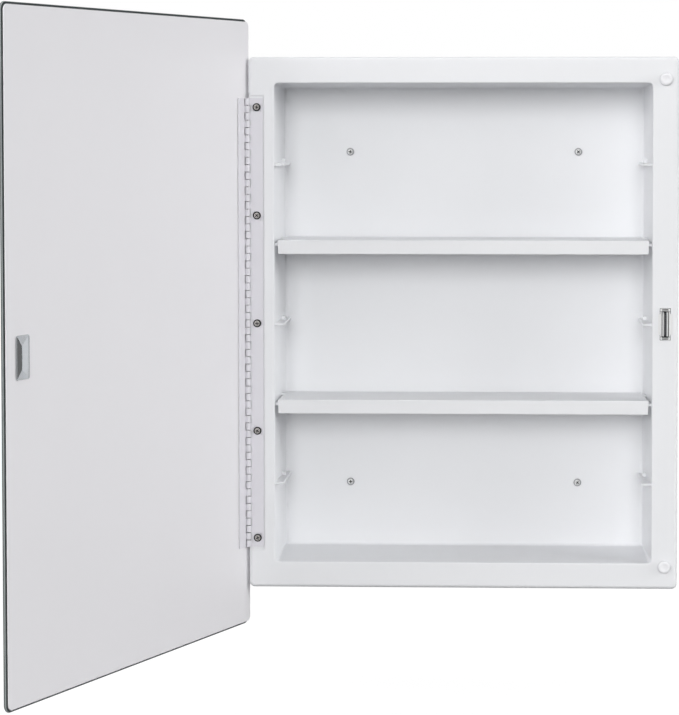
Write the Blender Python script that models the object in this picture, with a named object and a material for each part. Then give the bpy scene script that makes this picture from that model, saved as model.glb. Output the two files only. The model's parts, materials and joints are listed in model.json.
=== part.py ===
"""A recessed medicine cabinet with a frameless mirror door.

A moulded plastic tub with a flange round its opening holds two lift-out shelves. The mirror door hangs on a
full-height piano hinge at the left and is held shut by a magnetic catch at the right. The model is in metres,
with +Z up, +Y into the wall, and its origin at the centre of the back panel's rear face. The door stands open.
"""

import math

import bmesh
import bpy
from mathutils import Vector
from mathutils.geometry import tessellate_polygon

MM = 0.001
GAP = 0.3 * MM  # left between pieces that touch

# Tub and flange
FLANGE_WIDTH = 397.0 * MM
FLANGE_HEIGHT = 492.5 * MM
FLANGE_CORNER = 5.0 * MM
FLANGE_EDGE = 3.5 * MM  # rounding of the flange's front edge
FLANGE_PLATE = 2.4 * MM
RIM_DEPTH = 10.5 * MM  # the return rim that stands on the wall's surface
BORDER = 24.0 * MM  # visible flange between its outer edge and the opening
WALL = 2.2 * MM
BODY_DEPTH = 82.5 * MM
DRAFT = 3.3 * MM  # how much each side leans in towards the back
OPENING_CORNER = 4.0 * MM
OPENING_EDGE = 1.2 * MM
BACK_CORNER = 3.0 * MM  # rounding where the walls meet the back panel
CORNER_STEPS = 4
EDGE_STEPS = 3

FACE = -BODY_DEPTH  # y of the flange's front face
OPENING_X = FLANGE_WIDTH / 2 - BORDER
OPENING_Z = FLANGE_HEIGHT / 2 - BORDER

# Ledges that carry the shelves, and the nubs that keep a shelf from sliding forward
LEDGES = 5
LEDGE_PITCH = 2 * OPENING_Z / (LEDGES + 1)
LEDGE_THICK = 2.5 * MM
LEDGE_X = 166.0 * MM  # inner edge
LEDGE_SETBACK = 4.2 * MM  # leaves room for a shelf's lip in front
NUB_FROM_FACE = 50.0 * MM
NUB_WIDE = 5.0 * MM
NUB_HIGH = 3.6 * MM
NUB_X = 168.6 * MM
WALL_CORE = WALL / 2  # how far an added piece runs into the wall

# Shelves
SHELF_LEDGES = {"shelf_upper": 2, "shelf_lower": 4}  # ledges are counted from the top
SHELF_THICK = 2.5 * MM
SHELF_SETBACK = 1.5 * MM
SHELF_DEPTH = 76.0 * MM
SHELF_FRONT_X = 171.6 * MM
SHELF_BACK_X = 168.9 * MM
LIP_HIGH = 12.5 * MM
LIP_THICK = 2.4 * MM
LIP_TAPER = 0.7 * MM

# Piano hinge
PIN_X = -199.1 * MM
PIN_Y = FACE - 1.3 * MM
PIN_R = 0.9 * MM
KNUCKLE_R = 2.3 * MM
BORE_R = 1.2 * MM
KNUCKLES = 61
KNUCKLE_PITCH = 6.84 * MM
KNUCKLE_SIDES = 8
BORE_SIDES = 6
LEAF_THICK = 1.0 * MM
LEAF_WIDE = 14.3 * MM  # from the pin's axis
LEAF_CUT = 2.75 * MM  # where a leaf is cut back beside the other leaf's knuckles
HINGE_HALF = KNUCKLES * KNUCKLE_PITCH / 2
RECESS_DEEP = 1.3 * MM
RECESS_X = -184.1 * MM
RECESS_Z = 211.0 * MM
OPEN_ANGLE = math.radians(111.7)  # the door's hinge edge then stands beside the flange's rim

# Screws
HINGE_SCREW_X = -190.6 * MM
HINGE_SCREW_PITCH = 100.0 * MM
HINGE_SCREWS = 5
HINGE_SHANK_R = 1.6 * MM
HINGE_HEAD_R = 3.7 * MM
BOSS_R = 4.2 * MM
BOSS_LONG = 10.0 * MM
WALL_SCREW_X = 108.5 * MM
WALL_SCREW_Z = 158.0 * MM
WALL_SHANK_R = 2.0 * MM
WALL_HEAD_R = 3.65 * MM
WALL_SCREW_REACH = 22.0 * MM  # behind the back panel
HEAD_HIGH = 1.5 * MM
SCREW_SIDES = 12
SLOT_LONG = 3.6 * MM
SLOT_WIDE = 0.9 * MM
SLOT_DEEP = 0.9 * MM

# Mirror door, as distances in front of the pin's axis while it is closed
DOOR_HIGH = 562.0 * MM
DOOR_LEFT = -9.0 * MM  # from the pin's axis
DOOR_RIGHT = 410.0 * MM
DOOR_CORNER = 7.0 * MM
GLASS_THICK = 3.0 * MM
GLASS_EDGE = 0.4 * MM
BACKING_THICK = 1.0 * MM
BACKING_INSET = 1.2 * MM
TAPE_THICK = 0.25 * MM
TAPE_GAP = 0.15 * MM  # a bonded strip keeps a smaller gap than other pieces
BACKING_FRONT = KNUCKLE_R + TAPE_GAP + TAPE_THICK + TAPE_GAP
TAPE_FRONT = BACKING_FRONT + BACKING_THICK + TAPE_GAP
GLASS_FRONT = TAPE_FRONT + TAPE_THICK + TAPE_GAP
MIRROR_TAPES = 4
MIRROR_TAPE_WIDE = 19.0 * MM
MIRROR_TAPE_HIGH = 520.0 * MM

# Magnetic catch and its strike plate
CATCH_X = 186.6 * MM
CATCH_HALF_X = 4.95 * MM
CATCH_HALF_Z = 14.45 * MM
CATCH_PROUD = 1.0 * MM
CATCH_DEEP = 8.5 * MM
EAR_HALF_X = 7.0 * MM
EAR_HALF_Z = 11.0 * MM
CATCH_ROOM_X = 3.3 * MM
CATCH_ROOM_Z = 12.0 * MM
CATCH_FLOOR = 6.9 * MM
MAGNET_HALF_X = 1.0 * MM
MAGNET_HALF_Z = 10.0 * MM
POLE_THICK = 1.3 * MM
POLE_HALF_Z = 11.0 * MM
POLE_PROUD = 1.7 * MM
MAGNET_PROUD = 1.2 * MM
PACK_DEEP = 5.6 * MM
STRIKE_HALF_X = 9.8 * MM
STRIKE_HALF_Z = 17.75 * MM
STRIKE_X = 385.6 * MM  # from the pin's axis, which puts it over the catch when the door is closed
STRIKE_CORNER = 2.0 * MM
STRIKE_THICK = 1.0 * MM
STRIKE_HIP = 0.5 * MM
STRIKE_RIM = 1.4 * MM
STRIKE_END = 5.0 * MM  # length of the hip's end facets

BUMPER_X = 186.5 * MM
BUMPER_Z = 225.5 * MM
BUMPER_R = 5.9 * MM
BUMPER_HIGH = 3.4 * MM


def clear_scene():
    for old in list(bpy.data.objects):
        bpy.data.objects.remove(old, do_unlink=True)


def material(name, colour, roughness, metallic=0.0):
    made = bpy.data.materials.new(name)
    made.use_nodes = True
    shader = made.node_tree.nodes["Principled BSDF"]
    shader.inputs["Base Color"].default_value = (*colour, 1.0)
    shader.inputs["Roughness"].default_value = roughness
    shader.inputs["Metallic"].default_value = metallic
    return made


def object_from(name, mesh, finish=None, parent=None):
    made = bpy.data.objects.new(name, mesh)
    bpy.context.scene.collection.objects.link(made)
    made.parent = parent
    if finish and not mesh.materials:
        mesh.materials.append(finish)
    return made


def mesh_from(bm, name):
    """Turns a bmesh of closed shells into a mesh whose faces point out, shaded smooth where it is round."""
    bmesh.ops.recalc_face_normals(bm, faces=bm.faces)
    mesh = bpy.data.meshes.new(name)
    bm.to_mesh(mesh)
    bm.free()
    mesh.shade_smooth()
    mesh.set_sharp_from_angle(angle=math.radians(35))
    return mesh


def skin(bm, loops):
    """Joins a run of loops that have the same number of points, and closes its two ends."""
    rings = [[bm.verts.new(point) for point in loop] for loop in loops]
    for near, far in zip(rings, rings[1:]):
        for i in range(len(near)):
            j = (i + 1) % len(near)
            bm.faces.new((near[i], near[j], far[j], far[i]))
    bm.faces.new(rings[0])
    bm.faces.new(rings[-1])


def rounded(half_x, half_z, corner, y, centre=(0.0, 0.0)):
    """A rectangle with round corners, in a plane across Y."""
    points = []
    corners = [(1, 1, 0.0), (-1, 1, 0.5), (-1, -1, 1.0), (1, -1, 1.5)]
    for side_x, side_z, start in corners:
        for step in range(CORNER_STEPS + 1):
            angle = math.pi * (start + 0.5 * step / CORNER_STEPS)
            x = side_x * (half_x - corner) + corner * math.cos(angle)
            z = side_z * (half_z - corner) + corner * math.sin(angle)
            points.append(Vector((centre[0] + x, y, centre[1] + z)))
    return points


def grown(half_x, half_z, corner, more, y):
    """The same rectangle, larger all round by more."""
    return rounded(half_x + more, half_z + more, max(corner + more, 0.5 * MM), y)


def box(bm, low, high):
    """A plain block between two corners."""
    x0, y0, z0 = low
    x1, y1, z1 = high
    front = [Vector((x0, y0, z0)), Vector((x1, y0, z0)), Vector((x1, y0, z1)), Vector((x0, y0, z1))]
    skin(bm, [front, [point + Vector((0, y1 - y0, 0)) for point in front]])


def turned(bm, profile, sides, centre=(0.0, 0.0)):
    """Turns (radius, y) points about an axis along Y. The profile starts and ends on the axis."""
    first = bm.verts.new((centre[0], profile[0][1], centre[1]))
    last = bm.verts.new((centre[0], profile[-1][1], centre[1]))
    rings = []
    for radius, y in profile[1:-1]:
        ring = []
        for i in range(sides):
            angle = 2 * math.pi * i / sides
            x = centre[0] + radius * math.cos(angle)
            z = centre[1] + radius * math.sin(angle)
            ring.append(bm.verts.new((x, y, z)))
        rings.append(ring)
    for i in range(sides):
        j = (i + 1) % sides
        bm.faces.new((first, rings[0][i], rings[0][j]))
        bm.faces.new((last, rings[-1][j], rings[-1][i]))
        for near, far in zip(rings, rings[1:]):
            bm.faces.new((near[i], near[j], far[j], far[i]))


def rod(bm, radius, y0, y1, centre):
    turned(bm, [(0, y0), (radius, y0), (radius, y1), (0, y1)], SCREW_SIDES, centre)


def combine(target, bm, name, operation):
    """Adds a Boolean with the shapes in bm, which stay out of the render."""
    tool = object_from(name, mesh_from(bm, name))
    tool.hide_render = True
    tool.display_type = "WIRE"
    boolean = target.modifiers.new(name, "BOOLEAN")
    boolean.object = tool
    boolean.operation = operation
    boolean.solver = "EXACT"


def ledge_top(number):
    """Height of a ledge's top, counting ledges down from the ceiling."""
    return OPENING_Z - number * LEDGE_PITCH


def wall_x(y):
    """Half the width inside the tub at a depth y."""
    return OPENING_X - DRAFT * (y - FACE) / BODY_DEPTH


def hinge_screw_heights():
    middle = (HINGE_SCREWS - 1) / 2
    return [(i - middle) * HINGE_SCREW_PITCH for i in range(HINGE_SCREWS)]


def wall_screw_places():
    return [(x, z) for z in (WALL_SCREW_Z, -WALL_SCREW_Z) for x in (-WALL_SCREW_X, WALL_SCREW_X)]


def quarter_turn():
    """Angles of a rounded edge, from its start to its end."""
    return [math.pi / 2 * step / EDGE_STEPS for step in range(EDGE_STEPS + 1)]


def tub_loops():
    """The tub's skin as loops, from the outside of its back, round the flange and in to the back again."""
    opening = (OPENING_X, OPENING_Z, OPENING_CORNER)
    flange = (FLANGE_WIDTH / 2, FLANGE_HEIGHT / 2, FLANGE_CORNER)
    loops = [grown(*opening, WALL - DRAFT - WALL, 0.0)]
    loops.append(grown(*opening, WALL - DRAFT, -WALL))
    loops.append(grown(*opening, WALL, FACE + FLANGE_PLATE))
    loops.append(grown(*flange, -WALL, FACE + FLANGE_PLATE))
    loops.append(grown(*flange, -WALL, FACE + RIM_DEPTH))
    loops.append(grown(*flange, 0.0, FACE + RIM_DEPTH))
    for angle in quarter_turn():
        inward = FLANGE_EDGE * (1 - math.cos(angle))
        loops.append(grown(*flange, -inward, FACE + FLANGE_EDGE * (1 - math.sin(angle))))
    for angle in quarter_turn():
        outward = OPENING_EDGE * (1 - math.sin(angle))
        loops.append(grown(*opening, outward, FACE + OPENING_EDGE * (1 - math.cos(angle))))
    for angle in quarter_turn():
        inward = DRAFT + BACK_CORNER * (1 - math.cos(angle))
        depth = -WALL - BACK_CORNER * (1 - math.sin(angle))
        loops.append(grown(*opening, -inward, depth))
    return loops


def add_ledges(body):
    """Unites the ledges, and the bosses behind the hinge, with the tub."""
    bm = bmesh.new()
    y0 = FACE + LEDGE_SETBACK
    y1 = -WALL_CORE
    for number in range(1, LEDGES + 1):
        top = ledge_top(number)
        for side in (-1, 1):
            outline = [(LEDGE_X, y0), (wall_x(y0) + WALL_CORE, y0), (wall_x(y1) + WALL_CORE, y1), (LEDGE_X, y1)]
            lower = [Vector((side * x, y, top - LEDGE_THICK)) for x, y in outline]
            skin(bm, [lower, [point + Vector((0, 0, LEDGE_THICK)) for point in lower]])
    for height in hinge_screw_heights():
        rod(bm, BOSS_R, FACE + 1.9 * MM, FACE + BOSS_LONG, (HINGE_SCREW_X, height))
    combine(body, bm, "ledges_and_bosses", "UNION")


def add_nubs(body):
    """Unites the small stops above the ledges with the tub. A notch in each shelf end drops over its stop."""
    bm = bmesh.new()
    y0 = FACE + NUB_FROM_FACE
    for number in range(1, LEDGES + 1):
        bottom = ledge_top(number) - LEDGE_THICK / 2
        for side in (-1, 1):
            x0, x1 = sorted((side * NUB_X, side * (wall_x(y0) + WALL_CORE)))
            box(bm, (x0, y0, bottom), (x1, y0 + NUB_WIDE, ledge_top(number) + NUB_HIGH))
    combine(body, bm, "nubs", "UNION")


def cut_openings(body):
    """Cuts the hinge's recess, the catch's slot and the screw holes."""
    bm = bmesh.new()
    outside = -FLANGE_WIDTH / 2 - 2 * MM
    box(bm, (outside, FACE - 1 * MM, -RECESS_Z), (RECESS_X, FACE + RECESS_DEEP, RECESS_Z))
    slot_x = CATCH_HALF_X + GAP
    slot_z = CATCH_HALF_Z + GAP
    plate_back = FACE + FLANGE_PLATE + 1 * MM
    box(bm, (CATCH_X - slot_x, FACE - 1 * MM, -slot_z), (CATCH_X + slot_x, plate_back, slot_z))
    for place in wall_screw_places():
        rod(bm, WALL_SHANK_R + GAP, -WALL - 1 * MM, 1 * MM, place)
    combine(body, bm, "recess_slot_and_wall_holes", "DIFFERENCE")
    bm = bmesh.new()
    for height in hinge_screw_heights():
        rod(bm, HINGE_SHANK_R + GAP, FACE, FACE + BOSS_LONG + 1 * MM, (HINGE_SCREW_X, height))
    combine(body, bm, "hinge_screw_holes", "DIFFERENCE")


def make_body(finish):
    bm = bmesh.new()
    skin(bm, tub_loops())
    body = object_from("cabinet_body", mesh_from(bm, "cabinet_body"), finish)
    add_ledges(body)
    add_nubs(body)
    cut_openings(body)


def make_shelf(name, finish):
    """A flat plate with a lip turned down at its front and a notch at each end."""
    base = ledge_top(SHELF_LEDGES[name]) + GAP
    front = FACE + SHELF_SETBACK
    back = front + SHELF_DEPTH
    bm = bmesh.new()
    outline = [(-SHELF_FRONT_X, front), (SHELF_FRONT_X, front), (SHELF_BACK_X, back), (-SHELF_BACK_X, back)]
    lower = [Vector((x, y, 0)) for x, y in outline]
    skin(bm, [lower, [point + Vector((0, 0, SHELF_THICK)) for point in lower]])
    shelf = object_from(name, mesh_from(bm, name), finish)
    shelf.location.z = base
    bm = bmesh.new()
    upper_x = SHELF_FRONT_X
    lower_x = SHELF_FRONT_X - LIP_TAPER
    top = SHELF_THICK - 0.6 * MM
    bottom = SHELF_THICK - LIP_HIGH
    inner = [(-lower_x, bottom), (lower_x, bottom), (upper_x, top), (-upper_x, top)]
    near = [Vector((x, front - 0.4 * MM, z)) for x, z in inner]
    skin(bm, [near, [point + Vector((0, LIP_THICK, 0)) for point in near]])
    combine(shelf, bm, name + "_lip", "UNION")
    shelf_tools = [shelf.modifiers[-1].object]
    bm = bmesh.new()
    notch = FACE + NUB_FROM_FACE
    for side in (-1, 1):
        x0, x1 = sorted((side * (NUB_X - GAP), side * (SHELF_FRONT_X + 5 * MM)))
        box(bm, (x0, notch - GAP, -1 * MM), (x1, notch + NUB_WIDE + GAP, SHELF_THICK + 1 * MM))
    combine(shelf, bm, name + "_notches", "DIFFERENCE")
    shelf_tools.append(shelf.modifiers[-1].object)
    for tool in shelf_tools:
        tool.parent = shelf


def knuckle_outline():
    """A knuckle's section: in from the leaf's outer face, round the pin and out along its inner face."""
    inner_face = KNUCKLE_R - LEAF_THICK
    turn = 1.5 * math.pi + math.asin(inner_face / KNUCKLE_R)
    points = [(LEAF_CUT, KNUCKLE_R)]
    for i in range(KNUCKLE_SIDES + 1):
        angle = math.pi / 2 + turn * i / KNUCKLE_SIDES
        points.append((KNUCKLE_R * math.cos(angle), KNUCKLE_R * math.sin(angle)))
    points.append((LEAF_CUT, inner_face))
    return points


def bore_outline():
    angles = [2 * math.pi * i / BORE_SIDES for i in range(BORE_SIDES)]
    return [(BORE_R * math.cos(angle), BORE_R * math.sin(angle)) for angle in angles]


def wall_between(bm, points, z0, z1, closed):
    """Faces that stand on a line of (x, y) points, between two heights."""
    count = len(points) if closed else len(points) - 1
    for i in range(count):
        (ax, ay), (bx, by) = points[i], points[(i + 1) % len(points)]
        corners = [(ax, ay, z0), (bx, by, z0), (bx, by, z1), (ax, ay, z1)]
        bm.faces.new([bm.verts.new(corner) for corner in corners])


def flat_with_bore(bm, outline, bore, z):
    """A knuckle's flat end, with the pin's bore through it."""
    loops = [[Vector((x, y, z)) for x, y in loop] for loop in (outline, bore)]
    points = loops[0] + loops[1]
    for triangle in tessellate_polygon(loops):
        bm.faces.new([bm.verts.new(points[i]) for i in triangle])


def leaf_steps(first_knuckle):
    """(height, next height, whether a knuckle stands there) for a leaf with every second knuckle."""
    steps = []
    height = -HINGE_HALF + GAP / 2
    for number in range(first_knuckle, KNUCKLES, 2):
        start = -HINGE_HALF + number * KNUCKLE_PITCH + GAP / 2
        end = start + KNUCKLE_PITCH - GAP
        if start > height:
            steps.append((height, start, False))
        steps.append((start, end, True))
        height = end
    if height < HINGE_HALF - GAP:
        steps.append((height, HINGE_HALF - GAP / 2, False))
    return steps


def leaf_mesh(name, first_knuckle, side):
    """A hinge leaf about the pin's axis. Its plate lies at the +Y side of the pin, or the -Y side."""
    outline = knuckle_outline()
    bore = bore_outline()
    plate = [outline[0], (LEAF_WIDE, KNUCKLE_R), (LEAF_WIDE, KNUCKLE_R - LEAF_THICK), outline[-1]]
    steps = leaf_steps(first_knuckle)
    bm = bmesh.new()
    for z0, z1, knuckle in steps:
        wall_between(bm, plate, z0, z1, closed=False)
        if knuckle:
            wall_between(bm, outline, z0, z1, closed=False)
            wall_between(bm, bore, z0, z1, closed=True)
            flat_with_bore(bm, outline, bore, z0)
            flat_with_bore(bm, outline, bore, z1)
        else:
            wall_between(bm, [outline[0], outline[-1]], z0, z1, closed=False)
    for z in (steps[0][0], steps[-1][1]):
        bm.faces.new([bm.verts.new((x, y, z)) for x, y in plate])
    bmesh.ops.remove_doubles(bm, verts=bm.verts, dist=0.01 * MM)
    bmesh.ops.scale(bm, vec=(1, side, 1), verts=bm.verts)
    return mesh_from(bm, name)


def make_hinge(steel, bright, pin_line):
    frame_leaf = object_from("hinge_frame_leaf", leaf_mesh("hinge_frame_leaf", 0, 1), steel)
    frame_leaf.location = pin_line.location
    bm = bmesh.new()
    for height in hinge_screw_heights():
        rod(bm, HINGE_SHANK_R + GAP, FACE - 1 * MM, FACE + 2 * MM, (HINGE_SCREW_X, height))
    combine(frame_leaf, bm, "leaf_holes", "DIFFERENCE")
    object_from("hinge_door_leaf", leaf_mesh("hinge_door_leaf", 1, -1), steel, pin_line)
    bm = bmesh.new()
    ring = [(PIN_R / BORE_R * x, PIN_R / BORE_R * y) for x, y in bore_outline()]
    skin(bm, [[Vector((x, y, z)) for x, y in ring] for z in (-HINGE_HALF, HINGE_HALF)])
    pin = object_from("hinge_pin", mesh_from(bm, "hinge_pin"), bright)
    pin.location = pin_line.location


def cross_tool(top):
    """The cross-shaped tool that presses a driver recess into a screw head."""
    long = SLOT_LONG / 2
    wide = SLOT_WIDE / 2
    quarter = [(long, -wide), (long, wide), (wide, wide)]
    points = []
    for turn in range(4):
        cos, sin = math.cos(turn * math.pi / 2), math.sin(turn * math.pi / 2)
        points += [(x * cos - z * sin, x * sin + z * cos) for x, z in quarter]
    near = [Vector((x, top - 1 * MM, z)) for x, z in points]
    bm = bmesh.new()
    skin(bm, [near, [point + Vector((0, 1 * MM + SLOT_DEEP, 0)) for point in near]])
    return bm


def screw_mesh(name, head_r, shank_r, length):
    """A pan-head screw along +Y, with the underside of its head at y = 0."""
    profile = [(0, -HEAD_HIGH), (0.55 * head_r, -0.94 * HEAD_HIGH), (0.88 * head_r, -0.65 * HEAD_HIGH)]
    profile += [(head_r, -0.2 * HEAD_HIGH), (head_r, 0), (shank_r, 0), (shank_r, length - 3 * MM), (0, length)]
    bm = bmesh.new()
    turned(bm, profile, SCREW_SIDES)
    blank = object_from(name + "_blank", mesh_from(bm, name + "_blank"))
    combine(blank, cross_tool(-HEAD_HIGH), name + "_recess", "DIFFERENCE")
    tool = blank.modifiers[0].object
    bpy.context.view_layer.update()
    graph = bpy.context.evaluated_depsgraph_get()
    mesh = bpy.data.meshes.new_from_object(blank.evaluated_get(graph))
    mesh.name = name
    bpy.data.objects.remove(blank)
    bpy.data.objects.remove(tool)
    return mesh


def make_screws(dark, bright):
    mesh = screw_mesh("hinge_screw", HINGE_HEAD_R, HINGE_SHANK_R, BOSS_LONG + 3 * MM)
    for number, height in enumerate(reversed(hinge_screw_heights()), 1):
        screw = object_from(f"hinge_screw_{number}", mesh, dark)
        screw.location = (HINGE_SCREW_X, FACE - GAP, height)
    mesh = screw_mesh("wall_screw", WALL_HEAD_R, WALL_SHANK_R, WALL + GAP + WALL_SCREW_REACH)
    for number, (x, z) in enumerate(wall_screw_places(), 1):
        screw = object_from(f"wall_screw_{number}", mesh, bright)
        screw.location = (x, -WALL - GAP, z)


def make_catch(plastic, steel, magnet):
    """The housing, pushed through a slot in the flange, and the magnet between its two pole plates."""
    bm = bmesh.new()
    front = FACE - CATCH_PROUD
    box(
        bm,
        (CATCH_X - CATCH_HALF_X, front, -CATCH_HALF_Z),
        (CATCH_X + CATCH_HALF_X, FACE + CATCH_DEEP, CATCH_HALF_Z),
    )
    housing = object_from("catch_housing", mesh_from(bm, "catch_housing"), plastic)
    bm = bmesh.new()
    ear_front = front + 0.1 * MM
    box(bm, (CATCH_X - EAR_HALF_X, ear_front, -EAR_HALF_Z), (CATCH_X + EAR_HALF_X, FACE - GAP, EAR_HALF_Z))
    combine(housing, bm, "catch_ears", "UNION")
    bm = bmesh.new()
    box(
        bm,
        (CATCH_X - CATCH_ROOM_X, front - 1 * MM, -CATCH_ROOM_Z),
        (CATCH_X + CATCH_ROOM_X, FACE + CATCH_FLOOR, CATCH_ROOM_Z),
    )
    combine(housing, bm, "catch_room", "DIFFERENCE")
    bm = bmesh.new()
    box(
        bm,
        (CATCH_X - MAGNET_HALF_X, FACE - MAGNET_PROUD, -MAGNET_HALF_Z),
        (CATCH_X + MAGNET_HALF_X, FACE + PACK_DEEP, MAGNET_HALF_Z),
    )
    object_from("catch_magnet", mesh_from(bm, "catch_magnet"), magnet)
    for name, side in (("pole_plate_left", -1), ("pole_plate_right", 1)):
        near = MAGNET_HALF_X + GAP
        x0, x1 = sorted((CATCH_X + side * near, CATCH_X + side * (near + POLE_THICK)))
        bm = bmesh.new()
        box(bm, (x0, FACE - POLE_PROUD, -POLE_HALF_Z), (x1, FACE + PACK_DEEP, POLE_HALF_Z))
        object_from(name, mesh_from(bm, name), steel)


def make_bumpers(rubber):
    """Low domes that the door closes against."""
    profile = [(0, 0), (BUMPER_R, 0), (BUMPER_R, -0.35 * BUMPER_HIGH), (0.9 * BUMPER_R, -0.72 * BUMPER_HIGH)]
    profile += [(0.66 * BUMPER_R, -0.93 * BUMPER_HIGH), (0, -BUMPER_HIGH)]
    for name, side in (("bumper_top", 1), ("bumper_bottom", -1)):
        bm = bmesh.new()
        turned(bm, profile, 16)
        bumper = object_from(name, mesh_from(bm, name), rubber)
        bumper.location = (BUMPER_X, FACE - GAP, side * BUMPER_Z)


def door_sheet(name, inset, near, thick, edge, finish, pin_line):
    """A sheet with the door's outline, whose inner face is near in front of the pin's axis."""
    half_x = (DOOR_RIGHT - DOOR_LEFT) / 2 - inset
    half_z = DOOR_HIGH / 2 - inset
    corner = DOOR_CORNER - inset
    centre = ((DOOR_RIGHT + DOOR_LEFT) / 2, 0)
    steps = [(edge, near), (0, near + edge), (0, near + thick - edge), (edge, near + thick)]
    bm = bmesh.new()
    skin(bm, [rounded(half_x - cut, half_z - cut, corner - cut, -away, centre) for cut, away in steps])
    object_from(name, mesh_from(bm, name), finish, pin_line)


def tape(name, x0, x1, half_z, near, finish, pin_line):
    bm = bmesh.new()
    box(bm, (x0, -near - TAPE_THICK, -half_z), (x1, -near, half_z))
    object_from(name, mesh_from(bm, name), finish, pin_line)


def make_strike(finish, foam, pin_line):
    """A plate with a low hipped face, opposite the catch when the door is closed."""
    centre_x = STRIKE_X
    back = -KNUCKLE_R
    front = back + STRIKE_THICK
    bm = bmesh.new()
    rim = 0.35 * MM
    steps = [(rim, back), (0, back + rim), (0, front - rim), (rim, front), (STRIKE_RIM, front)]
    loops = []
    for inset, y in steps:
        corner = max(STRIKE_CORNER - inset, 0.4 * MM)
        loops.append(rounded(STRIKE_HALF_X - inset, STRIKE_HALF_Z - inset, corner, y, (centre_x, 0)))
    skin(bm, loops)
    bm.faces.ensure_lookup_table()
    front_face = bm.faces[-1]
    rim_ring = list(front_face.verts)
    bm.faces.remove(front_face)
    ridge = STRIKE_HALF_Z - STRIKE_RIM - STRIKE_END
    ends = {side: bm.verts.new((centre_x, front + STRIKE_HIP, side * ridge)) for side in (-1, 1)}
    for i, vert in enumerate(rim_ring):
        after = rim_ring[(i + 1) % len(rim_ring)]
        near = 1 if vert.co.z > 0 else -1
        far = 1 if after.co.z > 0 else -1
        if near == far:
            bm.faces.new((vert, after, ends[near]))
        else:
            bm.faces.new((vert, after, ends[far], ends[near]))
    object_from("strike_plate", mesh_from(bm, "strike_plate"), finish, pin_line)
    half_x = STRIKE_HALF_X - 2 * MM
    near = KNUCKLE_R + TAPE_GAP
    tape("strike_tape", centre_x - half_x, centre_x + half_x, STRIKE_HALF_Z - 2.5 * MM, near, foam, pin_line)


def make_door(mirror, backing, foam, pin_line):
    door_sheet("mirror_glass", 0.0, GLASS_FRONT, GLASS_THICK, GLASS_EDGE, mirror, pin_line)
    door_sheet("door_backing", BACKING_INSET, BACKING_FRONT, BACKING_THICK, 0.2 * MM, backing, pin_line)
    pitch = (DOOR_RIGHT - DOOR_LEFT) / MIRROR_TAPES
    for number in range(MIRROR_TAPES):
        x = DOOR_LEFT + (number + 0.5) * pitch - MIRROR_TAPE_WIDE / 2
        name = f"mirror_tape_{number + 1}"
        tape(name, x, x + MIRROR_TAPE_WIDE, MIRROR_TAPE_HIGH / 2, TAPE_FRONT, foam, pin_line)
    near = KNUCKLE_R + TAPE_GAP
    tape("hinge_tape", LEAF_CUT + 0.5 * MM, LEAF_WIDE - 0.5 * MM, HINGE_HALF - 2 * MM, near, foam, pin_line)


def main():
    clear_scene()
    white = material("white_plastic", (0.80, 0.81, 0.83), 0.28)
    shelf_white = material("shelf_plastic", (0.76, 0.77, 0.79), 0.30)
    leaf_paint = material("painted_leaf", (0.68, 0.67, 0.71), 0.38)
    bright = material("bright_steel", (0.62, 0.62, 0.64), 0.22, 1.0)
    dark = material("dark_zinc", (0.22, 0.22, 0.24), 0.25, 1.0)
    magnet = material("ferrite", (0.05, 0.05, 0.055), 0.60)
    rubber = material("clear_white_rubber", (0.82, 0.83, 0.85), 0.35)
    mirror = material("mirror", (0.90, 0.92, 0.92), 0.03, 1.0)
    backing = material("backing_sheet", (0.74, 0.73, 0.75), 0.55)
    foam = material("foam_tape", (0.85, 0.85, 0.84), 0.80)
    pin_line = bpy.data.objects.new("door_pivot", None)
    bpy.context.scene.collection.objects.link(pin_line)
    pin_line.location = (PIN_X, PIN_Y, 0)
    make_body(white)
    for name in SHELF_LEDGES:
        make_shelf(name, shelf_white)
    make_hinge(leaf_paint, bright, pin_line)
    make_screws(dark, bright)
    make_catch(white, bright, magnet)
    make_bumpers(rubber)
    make_door(mirror, backing, foam, pin_line)
    make_strike(bright, foam, pin_line)
    pin_line.rotation_euler.z = -OPEN_ANGLE


main()
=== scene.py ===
# %% [markdown]
# # A recessed medicine cabinet with a mirror door
#
# The cabinet is a white moulded tub that sits in a hole in the wall. A mirror door hangs on a full-height
# piano hinge at its left, and two shelves lift out of it. The engineering model already fixes every size
# and every moving body, so this lesson only makes the surfaces a person sees: rounder edges, real threads,
# ground glass, and finishes with the small unevenness that moulded, painted, plated and ground things have.
#
# Everything is in metres, in the model's own frame: +X to the right, +Y into the wall, +Z up.

# %% The fixed frame
import json
import math

import bmesh
import bpy
from mathutils import Matrix, Vector


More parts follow.
